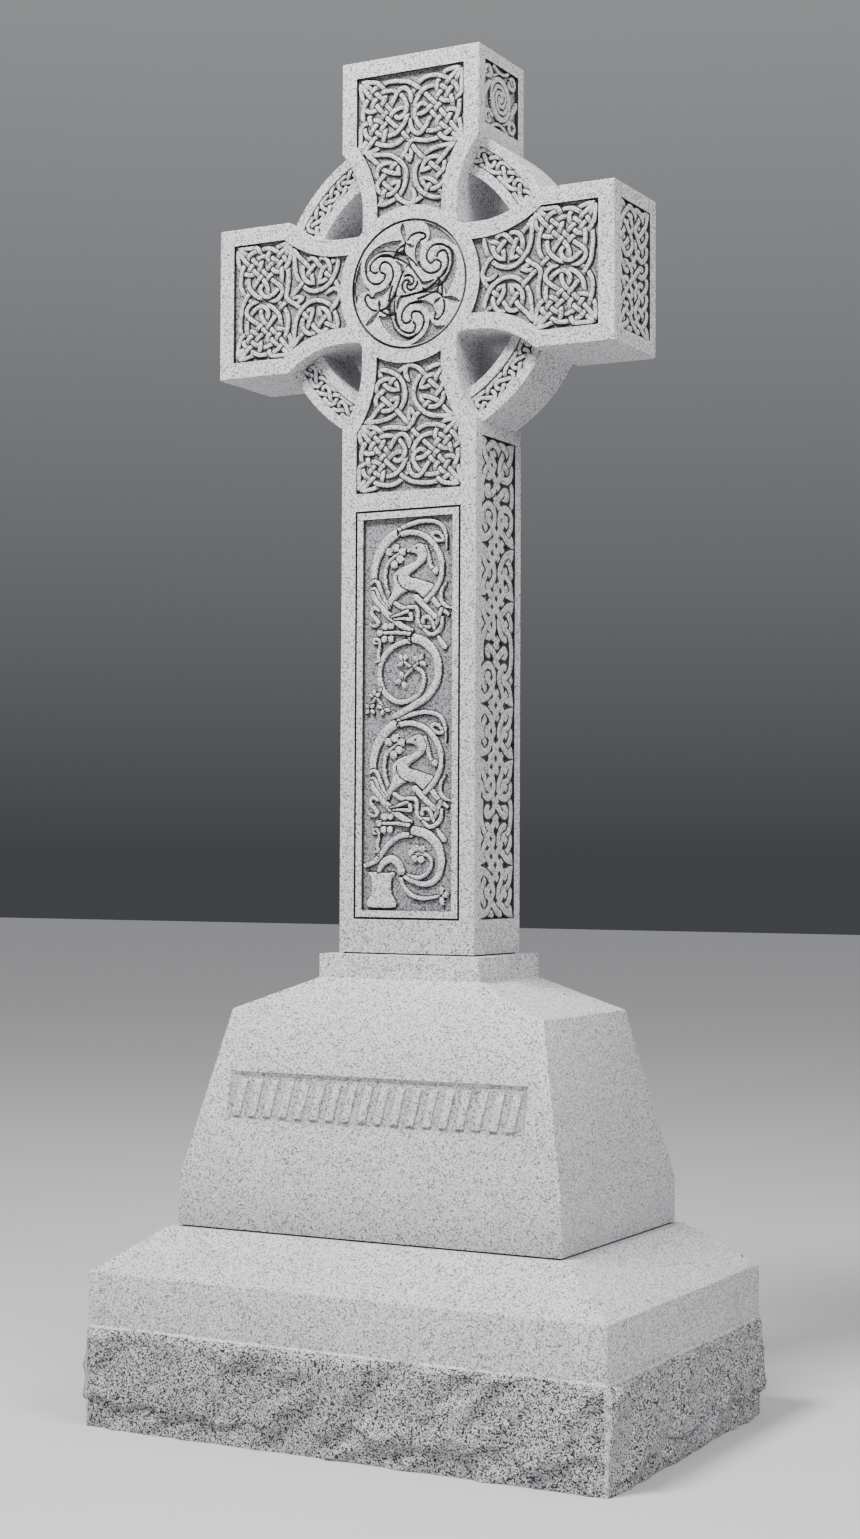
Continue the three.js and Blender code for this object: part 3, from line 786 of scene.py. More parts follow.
def near_outline(work, points, reach):
    """The spots in and near a smooth closed outline, with which lie inside and how far off it is."""
    outline = spaced(points, closed=True, step=OUTLINE_STEP)
    spots = spots_within(work, outline.min(axis=0) - reach, outline.max(axis=0) + reach)
    u, v = work["u"][spots], work["v"][spots]
    inside = np.zeros(u.shape, bool)
    edge = np.full(u.shape, 1e6)
    for a, b in zip(outline, np.roll(outline, -1, axis=0)):
        edge = np.minimum(edge, off_segment(u, v, a, b)[0])
        if a[1] != b[1]:
            crosses = (v < a[1]) != (v < b[1])
            inside ^= crosses & (u < a[0] + (v - a[1]) / (b[1] - a[1]) * (b[0] - a[0]))
    return spots, inside, edge


def raise_form(work, spots, inside, rim, low):
    """Lays a raised form over what is there, with a cut along its rim that is painted dark as shadow."""
    height, cut = work["height"][spots], work["cut"][spots]
    height[rim] = np.minimum(height[rim], max(STRAND_TOP - FORM_CUT_DROP, work["ground"]))
    height[inside] = (STRAND_TOP - low)[inside]
    cut[rim] = True
    cut[inside] = False
    work["height"][spots] = height
    work["cut"][spots] = cut


def stroke(work, points, widths, fall=4.5, gap=2.2):
    """A rounded band that runs over what is there."""
    spots, apart, along = near_path(work, points, max(widths) / 2 + 1 + gap)
    half = np.interp(along, np.linspace(0, 1, len(widths)), np.array(widths) / 2 + 1)
    share = np.clip(apart / half, 0, 1)
    inside = apart < half
    raise_form(work, spots, inside, ~inside & (apart < half + gap), fall * (1 - np.sqrt(1 - share**4)))


def blob(work, points, fall=4.5, shoulder=6, gap=2.6):
    """A raised shape with rounded edges."""
    spots, inside, edge = near_outline(work, points, gap)
    share = 1 - np.clip(edge / shoulder, 0, 1)
    raise_form(work, spots, inside, ~inside & (edge < gap), fall * (1 - np.sqrt(1 - share**2)))


def groove_line(work, points, width, depth):
    """An incised line, deepest in its middle."""
    spots, apart, _ = near_path(work, points, width / 2)
    share = np.clip(apart / (width / 2), 0, 1)
    work["height"][spots] -= depth * (1 - share**2)
    # The middle of the line is painted dark as shadow
    work["cut"][spots] |= share < 0.75


def sunk_shape(work, points, depth, slope=2.5):
    """A shape sunk into the face, with steep sides."""
    spots, inside, edge = near_outline(work, points, 0)
    height, cut = work["height"][spots], work["cut"][spots]
    floor = -depth * np.clip(edge / slope, 0, 1)
    height[inside] = np.minimum(height[inside], floor[inside])
    # A thin band along the walls is painted dark as shadow
    cut[inside & (edge < slope * 0.4)] = True
    work["height"][spots] = height
    work["cut"][spots] = cut


def relief_block(name, work, face, ground_level):
    """A grid raised to the heights of a canvas, drawn down at its rim and closed underneath."""
    rows, cols = work["u"].shape
    deselect()
    bpy.ops.mesh.primitive_grid_add(x_subdivisions=cols - 1, y_subdivisions=rows - 1, size=2)
    piece = bpy.context.object
    piece.name = name
    x, y, _ = read_points(piece)
    col = np.round((x + 1) / 2 * (cols - 1)).astype(int)
    row = np.round((y + 1) / 2 * (rows - 1)).astype(int)
    laid = np.column_stack([work[key][row, col] for key in ("u", "v", "height")])
    lay_points(piece, laid)
    # Low faces take the punched ground with its painted shade, and the cut faces are painted dark as
    # shadow
    finish(piece, FINE_AXED, PUNCHED_GROUND_AND_SHADE, CUT_SHADOW_AND_WEATHERING)
    corners = np.empty(len(piece.data.polygons) * 4, int)
    piece.data.polygons.foreach_get("vertices", corners)
    corners = corners.reshape(-1, 4)
    low = (laid[corners, 2] < ground_level).sum(axis=1) >= 3
    cut = work["cut"][row, col][corners].sum(axis=1) >= 2
    piece.data.polygons.foreach_set("material_index", np.where(cut, 2, low.astype(int)))
    close_rims(piece, drop=-ROOT)
    piece.data.transform(face)
    return piece


# Base stone

def rock_relief(along, up, side):
    """How far a broken granite face stands out: shelly hollows between crisp slanting ridges."""
    height = ROCK_REACH
    for size, depth in ROCK_HOLLOWS:
        spot = Vector(((along - 0.6 * up) / size + side * 7.3, up / (1.2 * size) + side * 3.1, side * 5.7))
        spot += noise.noise_vector(spot * 1.7) * 0.3
        nearest = noise.voronoi(spot)[0]
        height -= depth * min(nearest[1] - nearest[0], 0.7)
    return height + 1.5 * noise.noise(Vector((along / 9, up / 9, side * 2.0)))


def margin(distance, reach):
    """Rises from 0 at an arris to 1 at some reach into the face."""
    share = min(max(distance / reach, 0), 1)
    return share * share * (3 - 2 * share)


def undercut(along, up, side):
    """How far the face is broken back under a ragged line near the ground."""
    ragged = noise.noise(Vector((along / UNDERCUT_LENGTH, side * 4.4, 3)))
    line = UNDERCUT_HEIGHT + UNDERCUT_RANGE * ragged
    return UNDERCUT_DEPTH * (1 - margin(up - line, 9))


def rock_wall(side, width, depth):
    """One rock-pitched side: a grid stood up on the stone's edge and broken in relief."""
    across = round(width / ROCK_GRAIN)
    high = round(ROCK_TOP / ROCK_GRAIN)
    deselect()
    bpy.ops.mesh.primitive_grid_add(x_subdivisions=across, y_subdivisions=high, size=2)
    wall = bpy.context.object
    turn = Matrix.Rotation(side * math.pi / 2, 4, "Z")
    for vertex in wall.data.vertices:
        along = vertex.co.x * width / 2
        up = (vertex.co.y + 1) / 2 * ROCK_TOP
        edge = width / 2 - abs(along)
        swell = max(rock_relief(along, up, side) - undercut(along, up, side), 0)
        swell *= margin(ROCK_TOP - up, ROCK_TOP_EDGE) ** 0.5 * margin(edge, ROCK_CORNER_EDGE) ** 0.5
        out = min(swell, ROCK_REACH - ROCK_LIP) + ROCK_LIP
        corner = ROCK_LIP if edge < 0.01 else 0
        vertex.co = turn @ Vector((
            mm(along + math.copysign(corner, along)), -mm(depth / 2 + out), mm(up),
        ))

    def in_edge_row(part):
        centre = turn.inverted() @ part.center
        edge = min(width / 2 - abs(to_mm(centre.x)), ROCK_TOP - to_mm(centre.z))
        return edge < ROCK_GRAIN * 0.7

    return finish_parts(wall, ROCK_PITCHED, FINE_AXED, in_edge_row)


def make_base_stone():
    # A vector of noise starts anywhere unless it is told where, and the rock would differ each run
    noise.seed_set(ROCK_SEED)
    sizes = [(BAND_WIDTH, BAND_DEPTH), (BAND_DEPTH, BAND_WIDTH)] * 2
    rock = join([rock_wall(side, *size) for side, size in enumerate(sizes)], "base_rock")
    merge(rock, ROCK_SEAM_GAP)
    close_rims(rock)
    dressed = stepped_block("base_dressed", [
        (BAND_WIDTH / 2, BAND_DEPTH / 2, ROCK_TOP / 2),
        (BAND_WIDTH / 2, BAND_DEPTH / 2, BAND_TOP),
        (DIE_WIDTH / 2 + SEAT_MARGIN, DIE_DEPTH / 2 + SEAT_MARGIN, BASE_TOP),
    ])
    finish(dressed, FINE_AXED)
    soften(dressed)
    stone = chip(combine(rock, dressed, "UNION"), BASE_CHIP)
    stone.name = "base_stone_dressed"
    return stone


# Die stone

def die_face():
    """The sloping front of the die stone, with its origin at the foot of the slope."""
    slope = Vector((0, (DIE_DEPTH - SHOULDER_DEPTH) / 2, DIE_TAPER)).normalized()
    return face_at((0, -DIE_DEPTH / 2, BASE_TOP + DIE_BAND), (Vector((1, 0, 0)), slope))


def make_die_stone():
    foot = BASE_TOP
    levels = [
        (DIE_WIDTH / 2 - JOINT_DEPTH, DIE_DEPTH / 2 - JOINT_DEPTH, foot),
        (DIE_WIDTH / 2 - JOINT_DEPTH, DIE_DEPTH / 2 - JOINT_DEPTH, foot + JOINT_HEIGHT),
        (DIE_WIDTH / 2, DIE_DEPTH / 2, foot + JOINT_HEIGHT + 0.01),
        (DIE_WIDTH / 2, DIE_DEPTH / 2, foot + DIE_BAND),
        (SHOULDER_WIDTH / 2, SHOULDER_DEPTH / 2, foot + DIE_BAND + DIE_TAPER),
        (CAP_WIDTH / 2, CAP_DEPTH / 2, foot + DIE_BAND + DIE_TAPER + DIE_WASH),
        (CAP_WIDTH / 2, CAP_DEPTH / 2, DIE_TOP),
    ]
    stone = stepped_block("die_stone_dressed", levels)
    joint_top = mm(foot + JOINT_HEIGHT + 1)
    finish_parts(stone, FINE_AXED, CUT_SHADOW_AND_WEATHERING, lambda part: part.center.z < joint_top)
    soften(stone)
    half_width, half_height = STRIP_WIDTH / 2, STRIP_HEIGHT / 2
    strip = stepped_block("cut", [
        (half_width, half_height, -STRIP_DEPTH),
        (half_width + 2 * STRIP_SLOPE, half_height + 2 * STRIP_SLOPE, STRIP_DEPTH),
    ])
    strip.data.transform(die_face() @ Matrix.Translation((0, mm(STRIP_RISE + half_height), 0)))
    finish(strip, STIPPLED)
    combine(stone, strip, "DIFFERENCE")
    return chip(stone, DIE_CHIP)


def make_inscription_strokes():
    """A row of plain raised strokes in the place of the words."""
    spacing = STRIP_WIDTH / STROKES
    low = STRIP_RISE + (STRIP_HEIGHT - STROKE_HEIGHT) / 2
    strokes = []
    for k in range(STROKES):
        middle = -STRIP_WIDTH / 2 + spacing * (k + 0.5)
        foot, head = middle - STROKE_LEAN, middle + STROKE_LEAN
        outline = [
            (foot - STROKE_WIDTH / 2, low),
            (foot + STROKE_WIDTH / 2, low),
            (head + STROKE_WIDTH / 2, low + STROKE_HEIGHT),
            (head - STROKE_WIDTH / 2, low + STROKE_HEIGHT),
        ]
        strokes.append(plate("stroke", outline, -STRIP_DEPTH - 2, 0, die_face()))
    piece = join(strokes, "inscription_strokes")
    soften(piece, STROKE_ROUND, 3)
    return finish(piece, FINE_AXED)


# Outlines of the cross and its panels

def flare_radius(half):
    rise, run = half - NECK_HALF, FLARE_END - NECK_END
    return (run * run + rise * rise) / (2 * rise)


def arm_half(u, half, border=0):
    """Half-width of an arm at a distance out from the middle of the head, set in by a border."""
    if u <= NECK_END:
        return NECK_HALF - border
    radius = flare_radius(half)
    reach = (radius + border) ** 2 - (u - NECK_END) ** 2
    return min(NECK_HALF + radius - math.sqrt(max(reach, 0)), half - border)


def flare_meets(half, border):
    """Where the flare, set in by a border, meets the straight side of the arm."""
    radius = flare_radius(half)
    level = radius - (half - NECK_HALF) + border
    return NECK_END + math.sqrt((radius + border) ** 2 - level**2)


def flare_points(half, border, steps):
    end = flare_meets(half, border)
    stations = [NECK_END + (end - NECK_END) * step / steps for step in range(steps + 1)]
    return [(u, arm_half(u, half, border)) for u in stations]


def cross_outline():
    side_arm, top_arm, shaft = (ARM_HALF, ARM_REACH), (ARM_HALF, TOP_REACH), (SHAFT_HALF, HEAD_HEIGHT)
    middle = NECK_HALF + ARMPIT_RADIUS
    outline = []
    for quarter, (half, reach) in enumerate((side_arm, top_arm, side_arm, shaft)):
        side = arc(middle, middle, ARMPIT_RADIUS, 225, 270, 4) + flare_points(half, 0, 20)
        side.append((reach, half))
        edge = [(u, -v) for u, v in side] + side[:0:-1]
        turn = Matrix.Rotation(quarter * math.pi / 2, 2)
        outline += [tuple(turn @ Vector(point)) for point in edge]
    return outline


def arm_panel_outline(half, end):
    inner = NECK_HALF - ARM_BORDER
    lean = math.degrees(math.asin(inner / RIM_RADIUS))
    side = flare_points(half, ARM_BORDER, 14) + [(end, half - ARM_BORDER)]
    rim = arc(0, 0, RIM_RADIUS, lean, -lean, 16)
    return rim + [(u, -v) for u, v in side] + side[::-1]


# Cross

def make_ring(face):
    """The ring: its section, with the sunk band on both faces, is spun round the head."""
    thick = HALF_DEPTH - RING_RECESS
    inner, outer = RING_PANEL_INNER, RING_PANEL_OUTER
    section = [
        (RING_INNER, -thick), (inner, -thick), (inner, SINK - thick), (outer, SINK - thick),
        (outer, -thick), (RING_OUTER, -thick), (RING_OUTER, thick), (outer, thick),
        (outer, thick - SINK), (inner, thick - SINK), (inner, thick), (RING_INNER, thick),
    ]
    deselect()
    bpy.ops.mesh.primitive_circle_add(vertices=len(section), radius=1, fill_type="NOTHING")
    ring = bpy.context.object
    for vertex, (radius, depth) in zip(ring.data.vertices, section):
        vertex.co = (mm(radius), 0, mm(depth))
    start_edit(ring)
    bpy.ops.mesh.spin(steps=RING_SIDES, angle=math.tau, center=(0, 0, 0), axis=(0, 0, 1))
    bpy.ops.mesh.select_all(action="SELECT")
    bpy.ops.mesh.remove_doubles(threshold=mm(RING_SEAM_GAP))
    face_outwards()

    def is_sunk(part):
        radius = to_mm(part.center.xy.length)
        return abs(to_mm(part.center.z)) < thick - 1 and inner - 1 < radius < outer + 1

    # The sunk band takes the punched ground, darkened with painted shade
    finish_parts(ring, FINE_AXED, PUNCHED_GROUND_AND_SHADE, is_sunk)
    ring.data.transform(face)
    return ring


def groove_frame(outline, width, depth, face):
    """A cutter for a narrow groove along an outline: the face is inset and its middle taken out."""
    piece = flat_face("cut", outline, -depth)
    bpy.ops.mesh.inset(thickness=mm(width), depth=0)
    bpy.ops.mesh.delete(type="FACE")
    return raised(piece, 2 * depth, face)


# Half-width of each arm, and where its panel ends: right, top and left arm, and shaft
PANEL_ENDS = [
    (half, reach - ARM_BORDER) for half, reach in
    ((ARM_HALF, ARM_REACH), (ARM_HALF, TOP_REACH), (ARM_HALF, ARM_REACH), (SHAFT_HALF, ARM_REACH))
]


def foot_joint():
    """A cutter for the narrow rebate round the foot of the cross, where the setting joint is raked."""
    floor = face_at((0, 0, DIE_TOP), (Vector((1, 0, 0)), Vector((0, 1, 0))))
    half_x, half_y = SHAFT_HALF + JOINT_DEPTH, HALF_DEPTH + JOINT_DEPTH
    return groove_frame(rectangle(half_x, -half_y, half_y), 2 * JOINT_DEPTH, JOINT_HEIGHT, floor)


def sunk_panel(outline, face):
    """A cutter for a sunk panel: a punched floor with painted shade, and narrow walls painted dark as
    shadow.
    """
    cutter = plate("cut", outline, -SINK, SINK, face)
    out = face.to_3x3() @ Vector((0, 0, 1))
    return finish_parts(
        cutter, PUNCHED_GROUND_AND_SHADE, CUT_SHADOW_AND_WEATHERING, lambda part: abs(part.normal.dot(out)) <= 0.5,
    )


def make_cross(faces):
    middle = face_at((0, 0, HEAD_CENTRE), FRONT)
    stone = plate("cross_dressed", cross_outline(), -HALF_DEPTH, HALF_DEPTH, middle)
    finish(stone, FINE_AXED)
    soften(stone, segments=1)
    combine(stone, make_ring(middle), "UNION")
    low, high = SHAFT_PANEL_LOW, SHAFT_PANEL_TOP
    grooves = [foot_joint()]
    panels = []
    for face in (faces["front"], faces["back"]):
        for quarter, (half, end) in enumerate(PANEL_ENDS):
            panels.append(sunk_panel(arm_panel_outline(half, end), turned(face, quarter)))
        panels.append(sunk_panel(rectangle(SHAFT_PANEL_HALF, low, high), face))
        panels.append(sunk_panel(circle(0, 0, ROUNDEL_RADIUS + ROUNDEL_GROOVE / 2, 96), face))
        frame_outline = rectangle(SHAFT_PANEL_HALF + SHAFT_FRAME, low - SHAFT_FRAME, high + SHAFT_FRAME)
        grooves.append(groove_frame(frame_outline, GROOVE, GROOVE, face))
    for side in ("right", "left"):
        for place, half, foot, top in (
            ("", SIDE_PANEL_HALF, SIDE_PANEL_LOW, SIDE_PANEL_TOP),
            ("_end", HALF_DEPTH - END_BORDER, END_BORDER - ARM_HALF, ARM_HALF - END_BORDER),
            ("_top", SIDE_PANEL_HALF, -TOP_SIDE_HEIGHT / 2, TOP_SIDE_HEIGHT / 2),
        ):
            panels.append(sunk_panel(rectangle(half, foot, top), faces[side + place]))
    # The grooves and the raked foot joint are painted dark: painted shadow, with some weathering
    for groove in grooves:
        finish(groove, CUT_SHADOW_AND_WEATHERING)
    cutter = join(panels + grooves, "cut")
    combine(stone, cutter, "DIFFERENCE")
    return stone


def cross_faces():
    faces = {
        "front": face_at((0, -HALF_DEPTH, HEAD_CENTRE), FRONT),
        "back": face_at((0, HALF_DEPTH, HEAD_CENTRE), BACK),
        "ring_front": face_at((0, RING_RECESS - HALF_DEPTH, HEAD_CENTRE), FRONT),
        "ring_back": face_at((0, HALF_DEPTH - RING_RECESS, HEAD_CENTRE), BACK),
    }
    top_middle = CROSS_TOP - TOP_SIDE_DROP - TOP_SIDE_HEIGHT / 2
    for name, way, directions in (("right", 1, RIGHT), ("left", -1, LEFT)):
        faces[name] = face_at((way * SHAFT_HALF, 0, HEAD_CENTRE), directions)
        faces[name + "_end"] = face_at((way * ARM_REACH, 0, HEAD_CENTRE), directions)
        faces[name + "_top"] = face_at((way * ARM_HALF, 0, top_middle), directions)
    return faces


def on_left(right, name, faces, place=""):
    """A copy on the left side of what is carved on the right."""
    return copied(right, name, faces["left" + place] @ faces["right" + place].inverted())


# Arm carving: two broad square knots in the outer panel and two small ones in the neck. The paths
# are drawn on the right arm, u outwards and v upwards from the middle of the head. The second broad
# knot is the first one turned half round KNOT_MIDDLE, and the small knots mirror each other.

KNOT_MIDDLE = 465.4
KNOT_START = 376
BROAD_KNOT = [
    [(446, 1), (425, -1), (408, -17), (411, -37), (440, -59), (462, -78), (492, -111), (530, -142),
     (551, -158)],
    [(551, -158), (516, -156), (491, -155), (480, -137), (476, -110), (484, -92), (505, -80),
     (530, -85), (548, -104), (553, -126), (555, -152)],
    [(555, -152), (530, -121), (498, -88), (466, -58), (455, -36), (457, -19), (469, -12),
     (484, -14), (504, -29), (517, -50), (518, -85), (504, -109), (484, -124), (464, -128),
     (434, -117), (413, -94), (408, -70), (412, -46), (424, -29), (440, -17), (455, -12),
     (470, -18), (479, -33), (474, -47), (443, -75), (421, -95), (376, -153)],
    [(376, -153), (380, -125), (385, -104), (398, -88), (414, -80), (432, -83), (446, -100),
     (454, -120), (450, -137), (432, -146), (408, -154), (381, -159)],
    [(381, -159), (413, -130), (446, -101), (479, -70), (519, -23)],
]
OUTER_BOW = [
    (393, -8), (389, -30), (386, -55), (389, -84), (402, -119), (430, -140), (451, -149),
    (478, -148), (507, -141), (521, -127), (537, -100), (544, -68), (542, -45), (531, -24),
    (511, -5), (505, 0),
]
SMALL_KNOT = [
    [(380, -4), (351, -29), (328, -56), (310, -78), (292, -98), (276, -104), (261, -94),
     (253, -74), (256, -55), (269, -41), (287, -33)],
    [(287, -33), (282, -58), (268, -78), (246, -89), (226, -99)],
    [(226, -99), (228, -77), (237, -53), (250, -33), (271, -19), (297, -13), (322, -18),
     (344, -36), (360, -61), (366, -92), (369, -139)],
    [(369, -139), (355, -117), (331, -94), (318, -74), (304, -33)],
    [(304, -33), (326, -42), (338, -58), (340, -80), (331, -97), (315, -105), (300, -101),
     (288, -85), (265, -59), (250, -46), (234, -31), (223, -10)],
]
NECK_LEAVES = [
    [(222, 0), (228, -10), (241, -13), (255, -8), (266, 0)],
    [(384, 9), (362, 15), (341, 4), (358, -2), (372, 2)],
]


def half_turned(points):
    return [(2 * KNOT_MIDDLE - u, -v) for u, v in points]


def mirrored(points):
    return [(u, -v) for u, v in points]


def arm_strands(stretch):
    """All strands of one arm. A longer arm has its broad knots stretched."""
    lower = BROAD_KNOT[:-1] + [BROAD_KNOT[-1] + half_turned(OUTER_BOW)]
    upper = [half_turned(section) for section in BROAD_KNOT]
    small_above = [mirrored(section)[::-1] for section in SMALL_KNOT[::-1]]
    through = upper[:-1] + [upper[-1] + SMALL_KNOT[0]] + SMALL_KNOT[1:-1]
    through += [SMALL_KNOT[-1] + [(222, 8)] + small_above[0][1:]] + small_above[1:-1]
    through += [small_above[-1][:-1] + [(366, 16), (382, 7)] + OUTER_BOW]

    def laid(section):
        return [(u + max(u - KNOT_START, 0) * (stretch - 1), v) for u, v in section]

    strands = [
        strand([laid(section) for section in lower], ends=("leaf", "under")),
        strand([laid(section) for section in through], ends=("leaf", "under")),
    ]
    strands += [strand([laid(leaf)], ends=("leaf", "leaf")) for leaf in NECK_LEAVES]
    return strands


def carve_arms(faces):
    """The knots of the four front arms, and the plainer plait of the back ones."""
    front, back = faces["front"], faces["back"]
    names = ["right_arm", "top_arm", "left_arm", "shaft_head"]
    side_arm = carve_strands("right_arm_knots", arm_strands(1), ARM_STRAND, front)
    pieces = [side_arm]
    for quarter in (2, 3):
        move = turned(front, quarter) @ front.inverted()
        pieces.append(copied(side_arm, names[quarter] + "_knots", move))
    longer = (TOP_REACH - ARM_BORDER - KNOT_START) / (ARM_REACH - ARM_BORDER - KNOT_START)
    pieces.append(carve_strands("top_arm_knots", arm_strands(longer), ARM_STRAND, turned(front, 1)))
    for quarter, (half, end) in enumerate(PANEL_ENDS):
        reach = half - ARM_BORDER
        start = flare_meets(half, ARM_BORDER)
        strands = plait(4, 7, {}, (start, -reach), (end, reach), 12)
        name = names[quarter] + "_back_plait"
        pieces.append(carve_strands(name, strands, ARM_BACK_STRAND, turned(back, quarter)))
    return pieces


# Ring carving: a chain of two strands. Each strand makes a small loop and a long bow by turns.
CHAIN_PITCH, CHAIN_RADIUS = 72, 390
CHAIN_START, CHAIN_TURN = 52.78, 89.1
CHAIN_LINK = [
    (0, 389), (1, 379), (8, 376.5), (18, 378), (30, 386), (46, 397), (61, 407), (72, 407),
    (95, 392), (109, 381), (120, 372), (135, 367), (152, 366.5), (170, 367), (186, 368),
    (197, 378), (202, 391), (198, 401), (190, 406), (178, 406.5), (164, 404), (152, 396),
]


def chain_strands(start):
    """Both strands of the chain in one quarter of the ring, from a start angle in degrees."""
    strands = []
    for first in (0, 1):
        path = []
        for link in (first - 4, first - 2, first):
            for along, radius in CHAIN_LINK:
                angle = math.radians(start) + (along + link * CHAIN_PITCH) / CHAIN_RADIUS
                path.append((radius * math.cos(angle), radius * math.sin(angle)))
        strands.append(strand([path]))
    return strands


def carve_ring(faces):
    pieces = []
    for side in ("ring_front", "ring_back"):
        quarters = [
            carve_strands("chain", chain_strands(CHAIN_START + CHAIN_TURN * k), RING_STRAND, faces[side])
            for k in range(4)
        ]
        pieces.append(join(quarters, side + "_chain"))
    return pieces


# Side of the shaft
SIDE_ROWS = 27

def side_walls():
    """Breaks in the side plait: long units with two round loops take turns with short ones."""
    walls = {}
    top = 2 * SIDE_ROWS
    for long_unit in (True, False) * 3:
        walls[4, top - 3] = "upright"
        if long_unit:
            walls[4, top - 9] = "upright"
            for column in (2, 6):
                walls[column, top - 5] = "level"
                walls[column, top - 7] = "level"
            for column in (1, 7):
                walls[column, top - 6] = "upright"
        top -= 12 if long_unit else 6
        for column in (1, 7):
            walls[column, top] = "level"
    return walls


def carve_shaft_sides(faces):
    low, high = (-SIDE_PANEL_HALF, SIDE_PANEL_LOW), (SIDE_PANEL_HALF, SIDE_PANEL_TOP)
    strands = plait(4, SIDE_ROWS, side_walls(), low, high, 14, 4)
    right = carve_strands("right_side_plait", strands, SIDE_STRAND, faces["right"], SIDE_RELIEF)
    return [right, on_left(right, "left_side_plait", faces)]


# Ends of the side arms: a close plait, broken so that it reads as two knots with loops between
END_WALLS = {
    (4, 3): "upright", (4, 13): "upright", (2, 7): "level", (6, 9): "level", (2, 9): "level",
    (6, 7): "level", (4, 5): "upright", (4, 11): "upright",
}


def carve_arm_ends(faces):
    half_u, half_v = HALF_DEPTH - END_BORDER, ARM_HALF - END_BORDER
    strands = plait(4, 8, END_WALLS, (-half_u, -half_v), (half_u, half_v), 10, 3)
    right = carve_strands("right_end_plait", strands, END_STRAND, faces["right_end"], END_RELIEF)
    return [right, on_left(right, "left_end_plait", faces, "_end")]


# Sides of the top arm: a round spiral, with a hooked scroll in each corner
TOP_SCROLLS = [
    ([(-98, -10), (-72, 22), (-40, 52), (0, 66)], [15, 12]),
    ([(-40, 84), (-8, 72), (26, 74), (48, 84)], [10, 8]),
    ([(-60, 48), (-52, 60), (-62, 74), (-80, 72), (-88, 56), (-78, 44), (-66, 50)], [13, 10, 6]),
    ([(50, 56), (64, 46), (82, 50), (88, 66), (74, 78), (60, 70), (72, 60)], [12, 10, 6]),
]
BOSS_RADIUS = 62
SPIRAL_START, SPIRAL_END, SPIRAL_SWEEP = 8, 50, 470


def carve_top_sides(faces):
    half_u, half_v = SIDE_PANEL_HALF - 1, TOP_SIDE_HEIGHT / 2 - 1
    across = np.linspace(-half_u, half_u, round(2 * half_u / RELIEF_STEP))
    up = np.linspace(-half_v, half_v, round(2 * half_v / RELIEF_STEP))
    work = canvas(*np.meshgrid(across, up), -SINK + 0.4)
    for way in (1, -1):
        for points, widths in TOP_SCROLLS:
            stroke(work, [(way * u, way * v) for u, v in points], widths)
    blob(work, circle(0, 0, BOSS_RADIUS, 24), fall=3)
    for start in (60, 240):
        end, widening = start + SPIRAL_SWEEP, SPIRAL_END - SPIRAL_START
        groove_line(work, arc(0, 0, SPIRAL_START, start, end, 24, widening), 5, 6)
    right = relief_block("right_top_spiral", work, faces["right_top"], -SINK + 2)
    return [right, on_left(right, "left_top_spiral", faces, "_top")]


# Roundel in the middle of the head: three spirals that flow into each other and into a small one.
# The grooves and sunk shapes are drawn once, for the spiral at the upper right, and turned in thirds.

ROUNDEL_LINES = [
    [(-5, 120), (7, 131), (25, 136), (42, 133), (51, 126), (48, 118), (37, 117), (32, 110)],
    [(78, 56), (66, 48), (57, 56), (54, 71), (60, 86), (73, 96), (90, 98), (106, 94), (121, 83), (130, 70),
     (132, 48), (130, 34), (122, 17), (112, 4), (100, -9), (82, -24), (61, -35), (46, -40), (28, -44)],
    [(85, 66), (90, 75), (100, 80), (112, 76), (119, 62), (120, 44), (115, 26), (104, 12), (88, 5)],
    [(85, 56), (95, 50), (99, 40), (94, 29), (79, 22), (64, 22), (48, 29), (36, 43), (28, 56)],
    [(-11, 113), (-14, 102), (-16, 91), (-12, 83), (-6, 68), (4, 47), (12, 36), (24, 20), (36, 4),
     (40, -5)],
    [(-86, 84), (-62, 81), (-41, 74), (-20, 64), (-5, 53), (7, 41)],
    [(-17, 107), (-32, 99), (-43, 86), (-47, 80), (-32, 85), (-20, 90)],
    [(26, 2), (22, -10), (10, -18), (-1, -17), (-7, -8), (-4, 1)],
]
ROUNDEL_SUNK = [
    [(30, 112), (20, 98), (18, 80), (21, 62), (30, 46), (40, 33), (47, 29), (38, 48), (33, 65), (34, 83),
     (40, 98)],
    [(38, 4), (49, 0), (64, 2), (80, 4), (70, -4), (55, -9), (43, -9)],
    [(118, 92), (133, 80), (142, 62), (146, 38), (142, 11), (133, -13), (122, -31), (114, -43),
     (110, -27), (102, -9), (114, 5), (126, 20), (132, 38), (132, 56), (127, 74)],
    [(26, 166), (46, 162), (58, 149), (64, 134), (61, 118), (55, 106), (72, 113), (88, 114), (109, 110),
     (127, 101), (143, 88), (129, 109), (110, 128), (86, 146), (56, 159)],
    [(-16, 87), (-38, 78), (-20, 66), (-5, 54), (6, 43), (-2, 58), (-8, 71)],
    [(-11, 112), (-21, 130), (-27, 150), (-21, 169), (-12, 150), (-10, 130)],
    [(-9, 110), (4, 108), (17, 98), (2, 98)],
    [(42, -11), (49, -20), (52, -33), (44, -24)],
]


def third_turned(points, third):
    angle = third * math.tau / 3
    turn = math.cos(angle), math.sin(angle)
    return [(u * turn[0] - v * turn[1], u * turn[1] + v * turn[0]) for u, v in points]


def round_canvas(radius, step, ground):
    """A canvas whose square grid is drawn in to a disc."""
    count = round(2 * radius / step)
    x, y = np.meshgrid(np.linspace(-1, 1, count), np.linspace(-1, 1, count))
    return canvas(radius * x * np.sqrt(1 - y * y / 2), radius * y * np.sqrt(1 - x * x / 2), ground)


